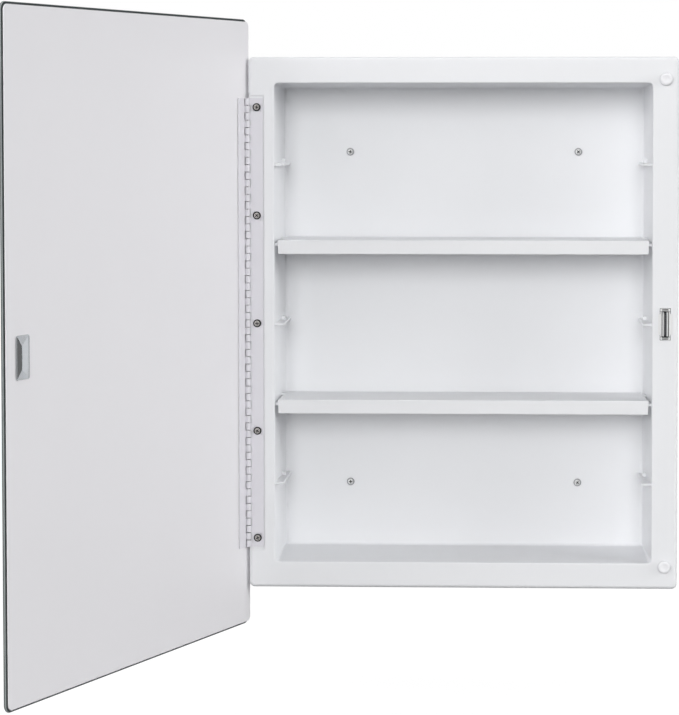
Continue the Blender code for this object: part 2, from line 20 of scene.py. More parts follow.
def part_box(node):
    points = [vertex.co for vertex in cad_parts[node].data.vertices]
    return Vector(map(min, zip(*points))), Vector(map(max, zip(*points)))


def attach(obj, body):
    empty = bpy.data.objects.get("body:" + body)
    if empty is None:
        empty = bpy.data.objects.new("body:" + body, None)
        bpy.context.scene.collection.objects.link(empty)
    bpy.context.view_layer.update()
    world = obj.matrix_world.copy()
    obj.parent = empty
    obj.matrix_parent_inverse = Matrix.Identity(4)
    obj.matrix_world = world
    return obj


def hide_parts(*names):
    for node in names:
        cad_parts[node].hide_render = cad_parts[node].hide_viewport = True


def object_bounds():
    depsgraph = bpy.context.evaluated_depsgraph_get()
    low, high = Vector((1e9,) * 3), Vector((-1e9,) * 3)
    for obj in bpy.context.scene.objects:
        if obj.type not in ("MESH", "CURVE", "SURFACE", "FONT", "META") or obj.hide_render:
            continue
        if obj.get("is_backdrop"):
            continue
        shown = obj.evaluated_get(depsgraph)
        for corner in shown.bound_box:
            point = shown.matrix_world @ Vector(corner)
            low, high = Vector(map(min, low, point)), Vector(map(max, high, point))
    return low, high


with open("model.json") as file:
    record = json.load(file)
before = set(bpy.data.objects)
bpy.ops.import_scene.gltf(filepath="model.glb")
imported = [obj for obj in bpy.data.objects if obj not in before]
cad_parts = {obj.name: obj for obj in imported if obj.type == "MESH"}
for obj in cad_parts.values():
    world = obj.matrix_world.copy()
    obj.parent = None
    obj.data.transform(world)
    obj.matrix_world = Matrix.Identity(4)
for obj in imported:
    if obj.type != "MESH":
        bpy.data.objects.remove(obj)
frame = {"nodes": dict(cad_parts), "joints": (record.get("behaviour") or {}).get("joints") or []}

MM = 0.001
cad_box = [list(corner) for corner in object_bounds()]
print("model's box, mm:", [[round(value / MM, 1) for value in corner] for corner in cad_box])

# %% [markdown]
# ## Reading places from the frame
#
# A piece that is made again has to land where the model has it. Typing coordinates in would work until
# someone changes the model. Asking the frame for each node's lowest and highest corner keeps the two
# together.

# %% The faces that everything else is measured from
tub_low, tub_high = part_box("cabinet_body")
FACE = tub_low.y  # the flange's front face; the back panel's rear face is at y = 0
FLANGE_X = tub_high.x
FLANGE_Z = tub_high.z
hinge = next(joint for joint in frame["joints"] if joint["name"] == "door_hinge")
PIN = Vector(hinge["pos_m"])
OPEN_ANGLE = -math.radians(hinge["range_deg"][0])
print("flange", round(2 * FLANGE_X / MM, 1), "x", round(2 * FLANGE_Z / MM, 1), "mm")
print("door open by", round(math.degrees(OPEN_ANGLE), 1), "degrees")


def middle_of(node):
    """The (x, z) middle of a node's box, as seen from the front."""
    low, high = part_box(node)
    return (low.x + high.x) / 2, (low.z + high.z) / 2


# %% [markdown]
# ## A small kit for finishes
#
# A finish is one Principled shader. What is the same all over, such as the index of refraction, is typed
# into the shader's own sockets. What varies is linked: a slow noise shifts the colour, a second one the
# roughness, and a fine one feeds a Bump node. Object coordinates are used because they need no unwrapping
# and their unit is the metre, so a grain of 0.4 mm can be written as just that.

# %% A finish with its coordinates
def blank_finish(name, roughness, metallic=0.0, ior=1.49):
    """A Principled material, its node tree and object coordinates to drive its textures."""
    made = bpy.data.materials.new(name)
    made.use_nodes = True
    tree = made.node_tree
    shader = tree.nodes["Principled BSDF"]
    shader.inputs["Roughness"].default_value = roughness
    shader.inputs["Metallic"].default_value = metallic
    shader.inputs["IOR"].default_value = ior
    place = tree.nodes.new("ShaderNodeTexCoord").outputs["Object"]
    return made, tree, shader, place


# %% Noise of a given size, stretched if the finish has a direction
def noise(tree, place, size, stretch=(1, 1, 1), detail=2.0):
    """A noise whose blotches are about size metres across, or longer along a stretched axis."""
    squeeze = tree.nodes.new("ShaderNodeMapping")
    squeeze.inputs["Scale"].default_value = [1 / (size * factor) for factor in stretch]
    tree.links.new(place, squeeze.inputs["Vector"])
    made = tree.nodes.new("ShaderNodeTexNoise")
    made.inputs["Scale"].default_value = 1.0
    made.inputs["Detail"].default_value = detail
    tree.links.new(squeeze.outputs["Vector"], made.inputs["Vector"])
    return made.outputs["Fac"]


# %% Colour that drifts, roughness that drifts, and grain
def drift_colour(tree, shader, factor, dark, light):
    """The base colour wanders between two near neighbours."""
    mix = tree.nodes.new("ShaderNodeMix")
    mix.data_type = "RGBA"
    mix.inputs["A"].default_value = (*dark, 1)
    mix.inputs["B"].default_value = (*light, 1)
    tree.links.new(factor, mix.inputs["Factor"])
    tree.links.new(mix.outputs["Result"], shader.inputs["Base Color"])


def drift_roughness(tree, shader, factor, low, high):
    spread = tree.nodes.new("ShaderNodeMapRange")
    spread.inputs["From Min"].default_value = 0.3
    spread.inputs["From Max"].default_value = 0.7
    spread.inputs["To Min"].default_value = low
    spread.inputs["To Max"].default_value = high
    tree.links.new(factor, spread.inputs["Value"])
    tree.links.new(spread.outputs["Result"], shader.inputs["Roughness"])


def grain(tree, shader, factor, strength, height):
    """Raises the surface by up to height metres where the texture is bright."""
    bump = tree.nodes.new("ShaderNodeBump")
    bump.inputs["Strength"].default_value = strength
    bump.inputs["Distance"].default_value = height
    tree.links.new(factor, bump.inputs["Height"])
    tree.links.new(bump.outputs["Normal"], shader.inputs["Normal"])


def shade(colour, factor):
    """A colour made darker or lighter by a factor."""
    return tuple(min(1.0, value * factor) for value in colour)


print("finish kit ready")

# %% [markdown]
# ## The plastics
#
# The tub and the shelves are injection moulded. Such a part is never perfectly even: the melt leaves slow,
# very faint tone changes, and the mould's satin polish gives the gloss a fine broken edge. The shelf is a
# shade greyer, the two door stops are a softer, more even vinyl, and the pocket of the catch is painted near
# black as shade.

# %% Moulded white plastic
def moulded_plastic(name, colour, gloss, grain_size=0.45 * MM):
    made, tree, shader, place = blank_finish(name, gloss)
    drift_colour(tree, shader, noise(tree, place, 70 * MM), shade(colour, 0.985), shade(colour, 1.012))
    drift_roughness(tree, shader, noise(tree, place, 22 * MM), gloss - 0.05, gloss + 0.06)
    grain(tree, shader, noise(tree, place, grain_size, detail=1.0), 0.12, 0.01 * MM)
    return made


tub_plastic = moulded_plastic("tub_plastic", (0.825, 0.832, 0.850), 0.34)
shelf_plastic = moulded_plastic("shelf_plastic", (0.810, 0.817, 0.832), 0.36, 0.6 * MM)
catch_plastic = moulded_plastic("catch_plastic", (0.80, 0.80, 0.80), 0.42)
# Near black: painted shade in the catch's pocket, its grooves and the skirt behind the flange.
pocket_painted_shade = moulded_plastic("pocket_painted_shade", (0.03, 0.03, 0.032), 0.5)
stop_vinyl = moulded_plastic("stop_vinyl", (0.86, 0.86, 0.88), 0.36, 0.9 * MM)
print("plastics:", tub_plastic.name, shelf_plastic.name, catch_plastic.name, stop_vinyl.name)

# %% [markdown]
# ## Painted strip, plate and ferrite
#
# The hinge leaves are steel strip under a thin coat of off-white enamel, whose surface has the shallow
# waves that painters call orange peel. The screws, the catch's pole plates and the strike are plated:
# bright zinc, or a darker nickel on the hinge screws. Cut edges, driver recesses and the hinge screws'
# flanks are painted near black as shade; the wall screws' flanks are painted darker as shade and their
# crowns lighter as a highlight. Rolled and polished metal keeps faint lines in one direction, so its noise
# is stretched along that direction. The magnet is sintered ferrite, dull and speckled.

# %% Enamel on steel strip
def strip_enamel():
    colour = (0.735, 0.725, 0.765)
    made, tree, shader, place = blank_finish("strip_enamel", 0.36)
    drift_colour(tree, shader, noise(tree, place, 35 * MM), shade(colour, 0.975), shade(colour, 1.015))
    drift_roughness(tree, shader, noise(tree, place, 9 * MM), 0.31, 0.43)
    grain(tree, shader, noise(tree, place, 1.1 * MM, detail=1.0), 0.25, 0.02 * MM)
    return made


# %% Plated metal, with its rolling or polishing lines along one axis
def plated(name, colour, roughness, lines=(1, 1, 40), metallic=1.0):
    """A metallic share below 1 stands for a dull film, which scatters light as a matt surface does."""
    made, tree, shader, place = blank_finish(name, roughness, metallic=metallic)
    drift_colour(tree, shader, noise(tree, place, 3 * MM), shade(colour, 0.92), shade(colour, 1.06))
    streaks = noise(tree, place, 0.12 * MM, stretch=lines)
    drift_roughness(tree, shader, streaks, roughness - 0.04, roughness + 0.05)
    grain(tree, shader, streaks, 0.10, 0.004 * MM)
    return made


# %% Sintered ferrite and foam tape
def speckled(name, dark, light, speck, roughness, height):
    made, tree, shader, place = blank_finish(name, roughness)
    cells = tree.nodes.new("ShaderNodeTexVoronoi")
    cells.inputs["Scale"].default_value = 1 / speck
    tree.links.new(place, cells.inputs["Vector"])
    drift_colour(tree, shader, cells.outputs["Distance"], dark, light)
    grain(tree, shader, cells.outputs["Distance"], 0.5, height)
    return made


enamel = strip_enamel()
bright_zinc = plated("bright_zinc", (0.66, 0.66, 0.68), 0.20)
polished_zinc = plated("polished_zinc", (0.74, 0.76, 0.77), 0.10)
# Darker zinc: painted shade on the wall screws' flanks, and the dull zinc of their shanks.
dull_zinc_and_shade = plated("dull_zinc_and_shade", (0.42, 0.42, 0.43), 0.38, lines=(1, 1, 1), metallic=0.6)
# Lighter zinc: a painted highlight on the wall screws' crowns, and the pole plates' own bright zinc.
highlight_and_pole_zinc = plated("highlight_and_pole_zinc", (0.80, 0.80, 0.80), 0.33, lines=(1, 1, 1), metallic=0.3)
dark_nickel = plated("dark_nickel", (0.50, 0.48, 0.46), 0.33, lines=(1, 1, 1), metallic=0.55)
# Near black: painted shade on cut edges, driver recesses and hinge screw flanks, and black oxide on the hinge
# screw shanks.
black_oxide_and_shade = plated("black_oxide_and_shade", (0.03, 0.03, 0.033), 0.36, lines=(1, 1, 1))
ferrite = speckled("ferrite", (0.035, 0.035, 0.04), (0.09, 0.09, 0.095), 0.5 * MM, 0.62, 0.03 * MM)
foam = speckled("foam_tape", (0.80, 0.80, 0.78), (0.90, 0.90, 0.89), 0.7 * MM, 0.85, 0.06 * MM)
metals = (bright_zinc, polished_zinc, dull_zinc_and_shade, highlight_and_pole_zinc, dark_nickel, black_oxide_and_shade)
print("metals:", enamel.name, *(finish.name for finish in metals))
print("fillers:", ferrite.name, foam.name)

# %% [markdown]
# ## The mirror's four surfaces and its backing
#
# A mirror is glass with silver behind it and paint behind the silver. From the front only the silver shows.
# Its edge is half round, with a matt green-grey ground band; the polished rounds beside the band look
# almost black; and the paint shows as a thin dark margin round the backing. One pane with four materials
# tells that story without stacking transparent layers, which would render slowly and noisily.

# %% Silver, seen through the glass
def silvering():
    colour = (0.90, 0.925, 0.92)
    made, tree, shader, place = blank_finish("silvering", 0.02, metallic=1.0)
    drift_colour(tree, shader, noise(tree, place, 120 * MM), shade(colour, 0.99), shade(colour, 1.01))
    drift_roughness(tree, shader, noise(tree, place, 60 * MM), 0.012, 0.03)
    shader.inputs["Coat Weight"].default_value = 0.5
    return made


# %% Ground edge, arrises and back paint
def glass_finish(name, colour, roughness, grind, height):
    made, tree, shader, place = blank_finish(name, roughness, ior=1.52)
    drift_colour(tree, shader, noise(tree, place, 14 * MM), shade(colour, 0.88), shade(colour, 1.10))
    grain(tree, shader, noise(tree, place, grind), 0.35, height)
    return made


# %% The backing sheet: extruded plastic with an eggshell face
def backing_sheet():
    colour = (0.812, 0.803, 0.826)
    made, tree, shader, place = blank_finish("backing_sheet", 0.5)
    drift_colour(tree, shader, noise(tree, place, 110 * MM), shade(colour, 0.985), shade(colour, 1.01))
    drift_roughness(tree, shader, noise(tree, place, 18 * MM), 0.46, 0.56)
    grain(tree, shader, noise(tree, place, 0.7 * MM, detail=1.0), 0.16, 0.015 * MM)
    return made


silver = silvering()
ground_edge = glass_finish("ground_edge", (0.28, 0.30, 0.30), 0.45, 0.25 * MM, 0.02 * MM)
arris = glass_finish("arris", (0.045, 0.055, 0.055), 0.12, 0.8 * MM, 0.004 * MM)
back_paint = glass_finish("back_paint", (0.085, 0.09, 0.095), 0.55, 0.6 * MM, 0.01 * MM)
backing = backing_sheet()
print("door finishes:", silver.name, ground_edge.name, arris.name, back_paint.name, backing.name)

# %% [markdown]
# ## A small kit for shapes
#
# Most pieces here are sections joined into a skin, so they need three things: an outline with round
# corners, a way to join outlines, and a way to hand the finished mesh to the frame. Booleans then add and
# cut. Each Boolean is applied at once, so what is left is an ordinary mesh that can be measured.

# %% Outlines
def rounded(half_x, half_z, corner, y, centre=(0.0, 0.0), steps=8):
    """A rectangle with round corners, in a plane across Y."""
    points = []
    for side_x, side_z, start in ((1, 1, 0.0), (-1, 1, 0.5), (-1, -1, 1.0), (1, -1, 1.5)):
        for step in range(steps + 1):
            angle = math.pi * (start + 0.5 * step / steps)
            x = side_x * (half_x - corner) + corner * math.cos(angle)
            z = side_z * (half_z - corner) + corner * math.sin(angle)
            points.append(Vector((centre[0] + x, y, centre[1] + z)))
    return points


def round_steps(count):
    """Angles over a quarter turn, for a rounded edge."""
    return [math.pi / 2 * step / count for step in range(count + 1)]


# %% Skins: outlines joined in a row, and profiles turned about an axis along Y
def skin(bm, loops, finishes=None):
    """Joins loops of equally many points and closes both ends. finishes numbers each band's material."""
    rings = [[bm.verts.new(point) for point in loop] for loop in loops]
    bands = finishes or [0] * (len(loops) + 1)
    for near, far, band in zip(rings, rings[1:], bands[1:]):
        for i in range(len(near)):
            j = (i + 1) % len(near)
            bm.faces.new((near[i], near[j], far[j], far[i])).material_index = band
    bm.faces.new(rings[0]).material_index = bands[0]
    bm.faces.new(rings[-1]).material_index = bands[-1]


def turned(bm, profile, sides=40, centre=(0.0, 0.0)):
    """Turns (radius, y) points about an axis along Y. The first and the last point lie on the axis."""
    first = bm.verts.new((centre[0], profile[0][1], centre[1]))
    last = bm.verts.new((centre[0], profile[-1][1], centre[1]))
    turns = [2 * math.pi * i / sides for i in range(sides)]
    rings = []
    for radius, y in profile[1:-1]:
        ring = [(centre[0] + radius * math.cos(a), y, centre[1] + radius * math.sin(a)) for a in turns]
        rings.append([bm.verts.new(point) for point in ring])
    for i in range(sides):
        j = (i + 1) % sides
        bm.faces.new((first, rings[0][i], rings[0][j]))
        bm.faces.new((last, rings[-1][j], rings[-1][i]))
        for near, far in zip(rings, rings[1:]):
            bm.faces.new((near[i], near[j], far[j], far[i]))


def rod(bm, radius, y0, y1, centre, sides=32):
    turned(bm, [(0, y0), (radius, y0), (radius, y1), (0, y1)], sides, centre)


# %% A block whose edges are already rounded, so that Booleans meet soft edges
def soft_block(bm, low, high, edge=0.4 * MM):
    """A block between two corners, with its front, back and side edges rounded."""
    centre = ((low[0] + high[0]) / 2, (low[2] + high[2]) / 2)
    half_x = (high[0] - low[0]) / 2
    half_z = (high[2] - low[2]) / 2
    loops = []
    for angle in round_steps(3):
        cut = edge * (1 - math.sin(angle))
        y = low[1] + edge * (1 - math.cos(angle))
        loops.append(rounded(half_x - cut, half_z - cut, max(edge - cut, 0.05 * MM), y, centre, 3))
    for angle in reversed(round_steps(3)):
        cut = edge * (1 - math.sin(angle))
        y = high[1] - edge * (1 - math.cos(angle))
        loops.append(rounded(half_x - cut, half_z - cut, max(edge - cut, 0.05 * MM), y, centre, 3))
    skin(bm, loops)


# %% From a bmesh to a piece, and the Booleans
def new_piece(name, bm, *finishes):
    """An object from a bmesh of closed shells: faces out, round parts smooth, real corners sharp."""
    bmesh.ops.recalc_face_normals(bm, faces=bm.faces)
    mesh = bpy.data.meshes.new(name)
    bm.to_mesh(mesh)
    bm.free()
    for finish in finishes:
        mesh.materials.append(finish)
    mesh.shade_smooth()
    mesh.set_sharp_from_angle(angle=math.radians(33))
    made = bpy.data.objects.new(name, mesh)
    bpy.context.scene.collection.objects.link(made)
    return made


def settle(made):
    """Keeps the piece as its modifiers leave it."""
    bpy.context.view_layer.update()
    graph = bpy.context.evaluated_depsgraph_get()
    mesh = bpy.data.meshes.new_from_object(made.evaluated_get(graph))
    made.modifiers.clear()
    made.data = mesh


def combine(made, bm, operation, finish_number=0):
    """Unites the shapes in bm with a piece, or cuts them out. The new faces get that finish of the piece."""
    tool = new_piece("tool", bm, *made.data.materials)
    tool.data.polygons.foreach_set("material_index", [finish_number] * len(tool.data.polygons))
    boolean = made.modifiers.new("boolean", "BOOLEAN")
    boolean.object = tool
    boolean.operation = operation
    boolean.solver = "EXACT"
    settle(made)
    bpy.data.objects.remove(tool)


def soften(made, width, segments=2):
    """Rounds the piece's sharp edges with a Bevel, which leaves its flat faces flat."""
    bevel = made.modifiers.new("soft_edges", "BEVEL")
    bevel.width = width
    bevel.segments = segments
    bevel.limit_method = "ANGLE"
    bevel.angle_limit = math.radians(40)
    bevel.harden_normals = True


def even_normals(made):
    """Flat faces keep their own normal up to their rounded borders, so that a large flat face stays even."""
    made.data.shade_smooth()
    made.data.set_sharp_from_angle(angle=math.radians(33))
    weighted = made.modifiers.new("even_normals", "WEIGHTED_NORMAL")
    weighted.keep_sharp = True
    weighted.weight = 100


def hand_over(made, body, slot, *nodes):
    """The piece moves with its body and stands for the model's own nodes."""
    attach(made, body)
    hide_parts(*nodes)
    print(f"{made.name}: {len(made.data.polygons)} faces on {body}")


print("shape kit ready")

# %% [markdown]
# ## The tub
#
# One moulding makes the flange, the box behind it, ten ledges, ten small stops, the bosses for the hinge
# screws and the recess for the hinge leaf. Its walls lean in a little towards the back so that it leaves
# the mould. A sculpted or subdivided box would lose those dimensions, so the skin is lofted: the outline is
# repeated at each depth, from the outside of the back, round the flange's edge, and in to the inside of the
# back panel.

# %% The tub's measures
BORDER = 24.0 * MM  # flange between its outer edge and the opening
OPENING_X = FLANGE_X - BORDER
OPENING_Z = FLANGE_Z - BORDER
OPENING_CORNER = 4.0 * MM
FLANGE_CORNER = 5.0 * MM
FLANGE_EDGE = 3.5 * MM
FLANGE_PLATE = 2.4 * MM
RIM_DEPTH = 10.5 * MM
OPENING_EDGE = 1.2 * MM
BACK_CORNER = 3.0 * MM
WALL = 2.2 * MM
DRAFT = 3.3 * MM  # how much each side leans in towards the back
print("opening", round(2 * OPENING_X / MM, 1), "x", round(2 * OPENING_Z / MM, 1), "mm")


# %% The lofted skin
def tub_loops():
    def grown(half_x, half_z, corner, more, y):
        return rounded(half_x + more, half_z + more, max(corner + more, 0.6 * MM), y, steps=8)

    opening = (OPENING_X, OPENING_Z, OPENING_CORNER)
    flange = (FLANGE_X, FLANGE_Z, FLANGE_CORNER)
    loops = []
    for angle in round_steps(4):
        inward = DRAFT + WALL * (1 - math.sin(angle))
        loops.append(grown(*opening, WALL - inward, -WALL * (1 - math.cos(angle))))
    loops.append(grown(*opening, WALL, FACE + FLANGE_PLATE))
    loops.append(grown(*flange, -WALL, FACE + FLANGE_PLATE))
    loops.append(grown(*flange, -WALL, FACE + RIM_DEPTH))
    loops.append(grown(*flange, 0.0, FACE + RIM_DEPTH))
    for angle in round_steps(7):
        inward = FLANGE_EDGE * (1 - math.cos(angle))
        loops.append(grown(*flange, -inward, FACE + FLANGE_EDGE * (1 - math.sin(angle))))
    for angle in round_steps(4):
        outward = OPENING_EDGE * (1 - math.sin(angle))
        loops.append(grown(*opening, outward, FACE + OPENING_EDGE * (1 - math.cos(angle))))
    for angle in round_steps(6):
        inward = DRAFT + BACK_CORNER * (1 - math.cos(angle))
        loops.append(grown(*opening, -inward, -WALL - BACK_CORNER * (1 - math.sin(angle))))
    return loops


bm = bmesh.new()
skin(bm, tub_loops())
tub = new_piece("tub", bm, tub_plastic)
print("tub skin:", len(tub.data.vertices), "points")

# %% [markdown]
# ### Ledges and stops
#
# Each shelf end lies on a thin ledge, and a little stop stands above each ledge so that the shelf, which
# has a notch there, cannot slide forward until it is lifted. Five pairs are moulded in, and only two of
# them are in use. They follow the wall's lean, so their outer side is worked out from the wall at that
# depth and buried halfway into it.

# %% The ledges' measures
LEDGES = 5
LEDGE_PITCH = 2 * OPENING_Z / (LEDGES + 1)
LEDGE_THICK = 2.5 * MM
LEDGE_X = 166.0 * MM
LEDGE_SETBACK = 4.2 * MM
STOP_FROM_FACE = 50.0 * MM
STOP_WIDE = 5.0 * MM
STOP_HIGH = 3.6 * MM
STOP_X = 168.6 * MM
ledge_tops = [OPENING_Z - number * LEDGE_PITCH for number in range(1, LEDGES + 1)]
print("ledge tops, mm:", [round(top / MM, 1) for top in ledge_tops])


def wall_x(y):
    """Half the width inside the tub at a depth y."""
    return OPENING_X - DRAFT * (y - FACE) / -FACE


# %% A ledge is a soft-edged slab whose outer side follows the wall
def ledge(bm, side, top):
    edge = 0.5 * MM
    y0, y1 = FACE + LEDGE_SETBACK, -WALL / 2
    loops = []
    for cut, z in ((edge, top), (0, top - edge), (0, top - LEDGE_THICK + edge), (edge, top - LEDGE_THICK)):
        corners = [
            (LEDGE_X + cut + edge, y0 + cut),
            (wall_x(y0) + WALL / 2, y0 + cut),
            (wall_x(y1) + WALL / 2, y1),
            (LEDGE_X + cut, y1),
            (LEDGE_X + cut, y0 + cut + edge),
        ]
        loops.append([Vector((side * x, y, z)) for x, y in corners])
    skin(bm, loops)


bm = bmesh.new()
for top in ledge_tops:
    for side in (-1, 1):
        ledge(bm, side, top)
combine(tub, bm, "UNION")
bm = bmesh.new()
for top in ledge_tops:
    for side in (-1, 1):
        near, far = sorted((side * STOP_X, side * (wall_x(FACE + STOP_FROM_FACE) + WALL / 2)))
        low = (near, FACE + STOP_FROM_FACE, top - LEDGE_THICK / 2)
        soft_block(bm, low, (far, low[1] + STOP_WIDE, top + STOP_HIGH), 0.6 * MM)
combine(tub, bm, "UNION")
print("ledges and stops:", 4 * LEDGES, "pieces of the moulding")

# %% [markdown]
# ### Bosses, recess and slots
#
# A screw needs more plastic than the flange has, so a boss stands behind each hinge screw. The hinge leaf
# drops into a recess, and that recess is what makes the leaf lie flush. The two door stops sit in shallow
# round seats. The tools for the cuts are a hair wider at the surface, which leaves the small lead-in that a
# mould leaves.

# %% Bosses behind the hinge screws
HINGE_SCREW_X = middle_of("hinge_screw_1")[0]
hinge_screws = [f"hinge_screw_{number}" for number in range(1, 6)]
screw_heights = [middle_of(name)[1] for name in hinge_screws]
BOSS_R = 4.2 * MM
BOSS_LONG = 10.0 * MM
SHANK_ROOM = 1.9 * MM
WALL_SCREW_HOLE_R = 2.3 * MM

bm = bmesh.new()
for height in screw_heights:
    end = FACE + BOSS_LONG
    outline = [(0, FACE + 1.9 * MM), (BOSS_R, FACE + 1.9 * MM), (BOSS_R, end - 0.6 * MM)]
    outline += [(BOSS_R - 0.6 * MM, end), (0, end)]
    turned(bm, outline, 32, (HINGE_SCREW_X, height))
combine(tub, bm, "UNION")
print("bosses at, mm:", [round(height / MM) for height in screw_heights])


# %% Cutting the recess, the catch's slot and the screw holes
def flared_cut(bm, low, high, flare=0.35 * MM):
    """A box-shaped cut whose mouth, at the front, is wider by flare."""
    centre = ((low[0] + high[0]) / 2, (low[2] + high[2]) / 2)
    half_x, half_z = (high[0] - low[0]) / 2, (high[2] - low[2]) / 2
    steps = [(flare, FACE - 1 * MM), (flare, FACE), (0.35 * flare, FACE + 0.3 * flare), (0, FACE + flare)]
    steps.append((0, high[1]))
    skin(bm, [rounded(half_x + more, half_z + more, 0.5 * MM + more, y, centre, 4) for more, y in steps])


RECESS_DEEP = 1.3 * MM
RECESS_X = -184.1 * MM
RECESS_Z = 211.0 * MM
catch_low, catch_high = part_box("catch_housing")
CATCH_X = (catch_low.x + catch_high.x) / 2
CATCH_Z = catch_high.z
CATCH_HALF = 4.55 * MM
SLOT_GAP = 0.45 * MM
ROOM = 0.3 * MM  # between a shelf's notch and its stop

bm = bmesh.new()
flared_cut(bm, (-FLANGE_X - 6 * MM, FACE, -RECESS_Z), (RECESS_X, FACE + RECESS_DEEP, RECESS_Z))
slot_x = CATCH_HALF + SLOT_GAP
slot_z = CATCH_Z + SLOT_GAP
flared_cut(bm, (CATCH_X - slot_x, FACE, -slot_z), (CATCH_X + slot_x, FACE + 3.4 * MM, slot_z), 0.2 * MM)
combine(tub, bm, "DIFFERENCE")
bm = bmesh.new()
for height in screw_heights:
    rod(bm, SHANK_ROOM, FACE, FACE + BOSS_LONG + 1 * MM, (HINGE_SCREW_X, height), 24)
wall_screws = [f"wall_screw_{number}" for number in range(1, 5)]
for name in wall_screws:
    rod(bm, WALL_SCREW_HOLE_R, -WALL - 1 * MM, 1 * MM, middle_of(name), 24)
combine(tub, bm, "DIFFERENCE")
SEAT_DEEP = 0.9 * MM
SEAT_GAP = 0.5 * MM
bm = bmesh.new()
for node in ("bumper_top", "bumper_bottom"):
    low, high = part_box(node)
    seat_r = (high.x - low.x) / 2 + SEAT_GAP
    rod(bm, seat_r, FACE - 1 * MM, FACE + SEAT_DEEP, middle_of(node), 56)
combine(tub, bm, "DIFFERENCE")
print("slot for the catch", round(2 * slot_x / MM, 1), "x", round(2 * slot_z / MM, 1), "mm")

# %% [markdown]
# ### Marks of the mould on the outside
#
# Ejector pins push the part out of the mould and leave shallow discs on its outer side, with the stub of
# the gate in the middle. They are cut only 0.12 mm deep, enough to catch a side light on the back.

# %% Ejector marks and the gate
bm = bmesh.new()
for column in (-1, 0, 1):
    for row in (-1, 1):
        rod(bm, 5 * MM, -0.12 * MM, 1 * MM, (column * 120 * MM, row * 78 * MM), 40)
rod(bm, 9 * MM, -0.25 * MM, 1 * MM, (0, 0), 48)
combine(tub, bm, "DIFFERENCE")
even_normals(tub)
hand_over(tub, "cabinet", "tub_plastic", "cabinet_body")

# %% [markdown]
# ## The shelves
# A shelf is a flat plate with a lip turned down in front, which hides the ledges and stiffens it. Its two
# ends are notched for the stops. A plain block would show hard black corners, so the plate and the lip are
# united into one piece, and after the notches are cut a small Bevel rounds its edges.

# %% The shelf's plate and lip, united, notched and rounded
SHELF_THICK = 2.5 * MM
LIP_HIGH = 12.5 * MM
LIP_THICK = 2.4 * MM
LIP_TAPER = 0.7 * MM
SHELF_BACK_TAPER = 2.7 * MM


def shelf_piece(node, number):
    low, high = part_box(node)
    half_x = high.x
    top = high.z
    bm = bmesh.new()
    plate_front = low.y + 0.4 * MM
    outline = [(-half_x, plate_front), (half_x, plate_front)]
    outline += [(half_x - SHELF_BACK_TAPER, high.y), (SHELF_BACK_TAPER - half_x, high.y)]
    lower = [Vector((x, y, top - SHELF_THICK)) for x, y in outline]
    skin(bm, [lower, [point + Vector((0, 0, SHELF_THICK)) for point in lower]])
    made = new_piece(f"moulded_shelf_{number}", bm, shelf_plastic)
    bm = bmesh.new()
    foot = half_x - LIP_TAPER
    lip_top = top - 0.6 * MM
    face = [(-foot, top - LIP_HIGH), (foot, top - LIP_HIGH), (half_x, lip_top), (-half_x, lip_top)]
    near = [Vector((x, low.y, z)) for x, z in face]
    skin(bm, [near, [point + Vector((0, LIP_THICK, 0)) for point in near]])
    combine(made, bm, "UNION")
    bm = bmesh.new()
    notch_y = FACE + STOP_FROM_FACE
    for side in (-1, 1):
        near_x, far_x = sorted((side * (STOP_X - ROOM), side * (half_x + 5 * MM)))
        corner = (near_x, notch_y - ROOM, top - SHELF_THICK - 1 * MM)
        soft_block(bm, corner, (far_x, notch_y + STOP_WIDE + ROOM, top + 1 * MM), 0.5 * MM)
    combine(made, bm, "DIFFERENCE")
    soften(made, 0.45 * MM, 3)
    settle(made)
    even_normals(made)
    hand_over(made, node, "shelf_plastic", node)


for number, node in enumerate(("shelf_upper", "shelf_lower"), 1):
    shelf_piece(node, number)

# %% [markdown]
# ## The piano hinge
#
# The hinge is two strips of steel. Fingers are cut along one edge of each, rolled round the pin, and
# interleaved. What makes it read as a piano hinge is the rolled finger: a strip of constant thickness that
# leaves the leaf, goes almost all the way round and stops against itself, with a dark gap between one
# finger and the next. An array of short tubes would miss the roll, so each finger is the rolled strip's own
# section, and one mesh carries the whole leaf.

# %% The hinge's measures
KNUCKLE_R = 2.3 * MM
BORE_R = 1.2 * MM
LEAF_THICK = 1.0 * MM
LEAF_WIDE = 14.3 * MM
LEAF_CUT = 3.2 * MM
KNUCKLES = 61
HINGE_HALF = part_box("hinge_pin")[1].z
KNUCKLE_PITCH = 2 * HINGE_HALF / KNUCKLES
KNUCKLE_GAP = 0.6 * MM
ROLL_STEPS = 18
print("knuckles", KNUCKLES, "of", round(KNUCKLE_PITCH / MM, 2), "mm")


# %% The section of a rolled finger, about the pin
def finger_outline():
    """Outside of the roll from the leaf's outer face, and the same roll's inside back to its inner face."""
    inner_face = KNUCKLE_R - LEAF_THICK
    turn = 1.5 * math.pi + math.asin(inner_face / KNUCKLE_R)
    points = [(LEAF_CUT, KNUCKLE_R)]
    for i in range(ROLL_STEPS + 1):
        angle = math.pi / 2 + turn * i / ROLL_STEPS
        points.append((KNUCKLE_R * math.cos(angle), KNUCKLE_R * math.sin(angle)))
    points.append((LEAF_CUT, inner_face))
    return points


def bore_outline(radius, sides=16):
    turns = [2 * math.pi * i / sides for i in range(sides)]
    return [(radius * math.cos(angle), radius * math.sin(angle)) for angle in turns]


# %% Faces of the leaf, between one height and the next
def upright(bm, points, z0, z1, closed):
    count = len(points) if closed else len(points) - 1
    for i in range(count):
        (ax, ay), (bx, by) = points[i], points[(i + 1) % len(points)]
        corners = [(ax, ay, z0), (bx, by, z0), (bx, by, z1), (ax, ay, z1)]
        bm.faces.new([bm.verts.new(corner) for corner in corners])


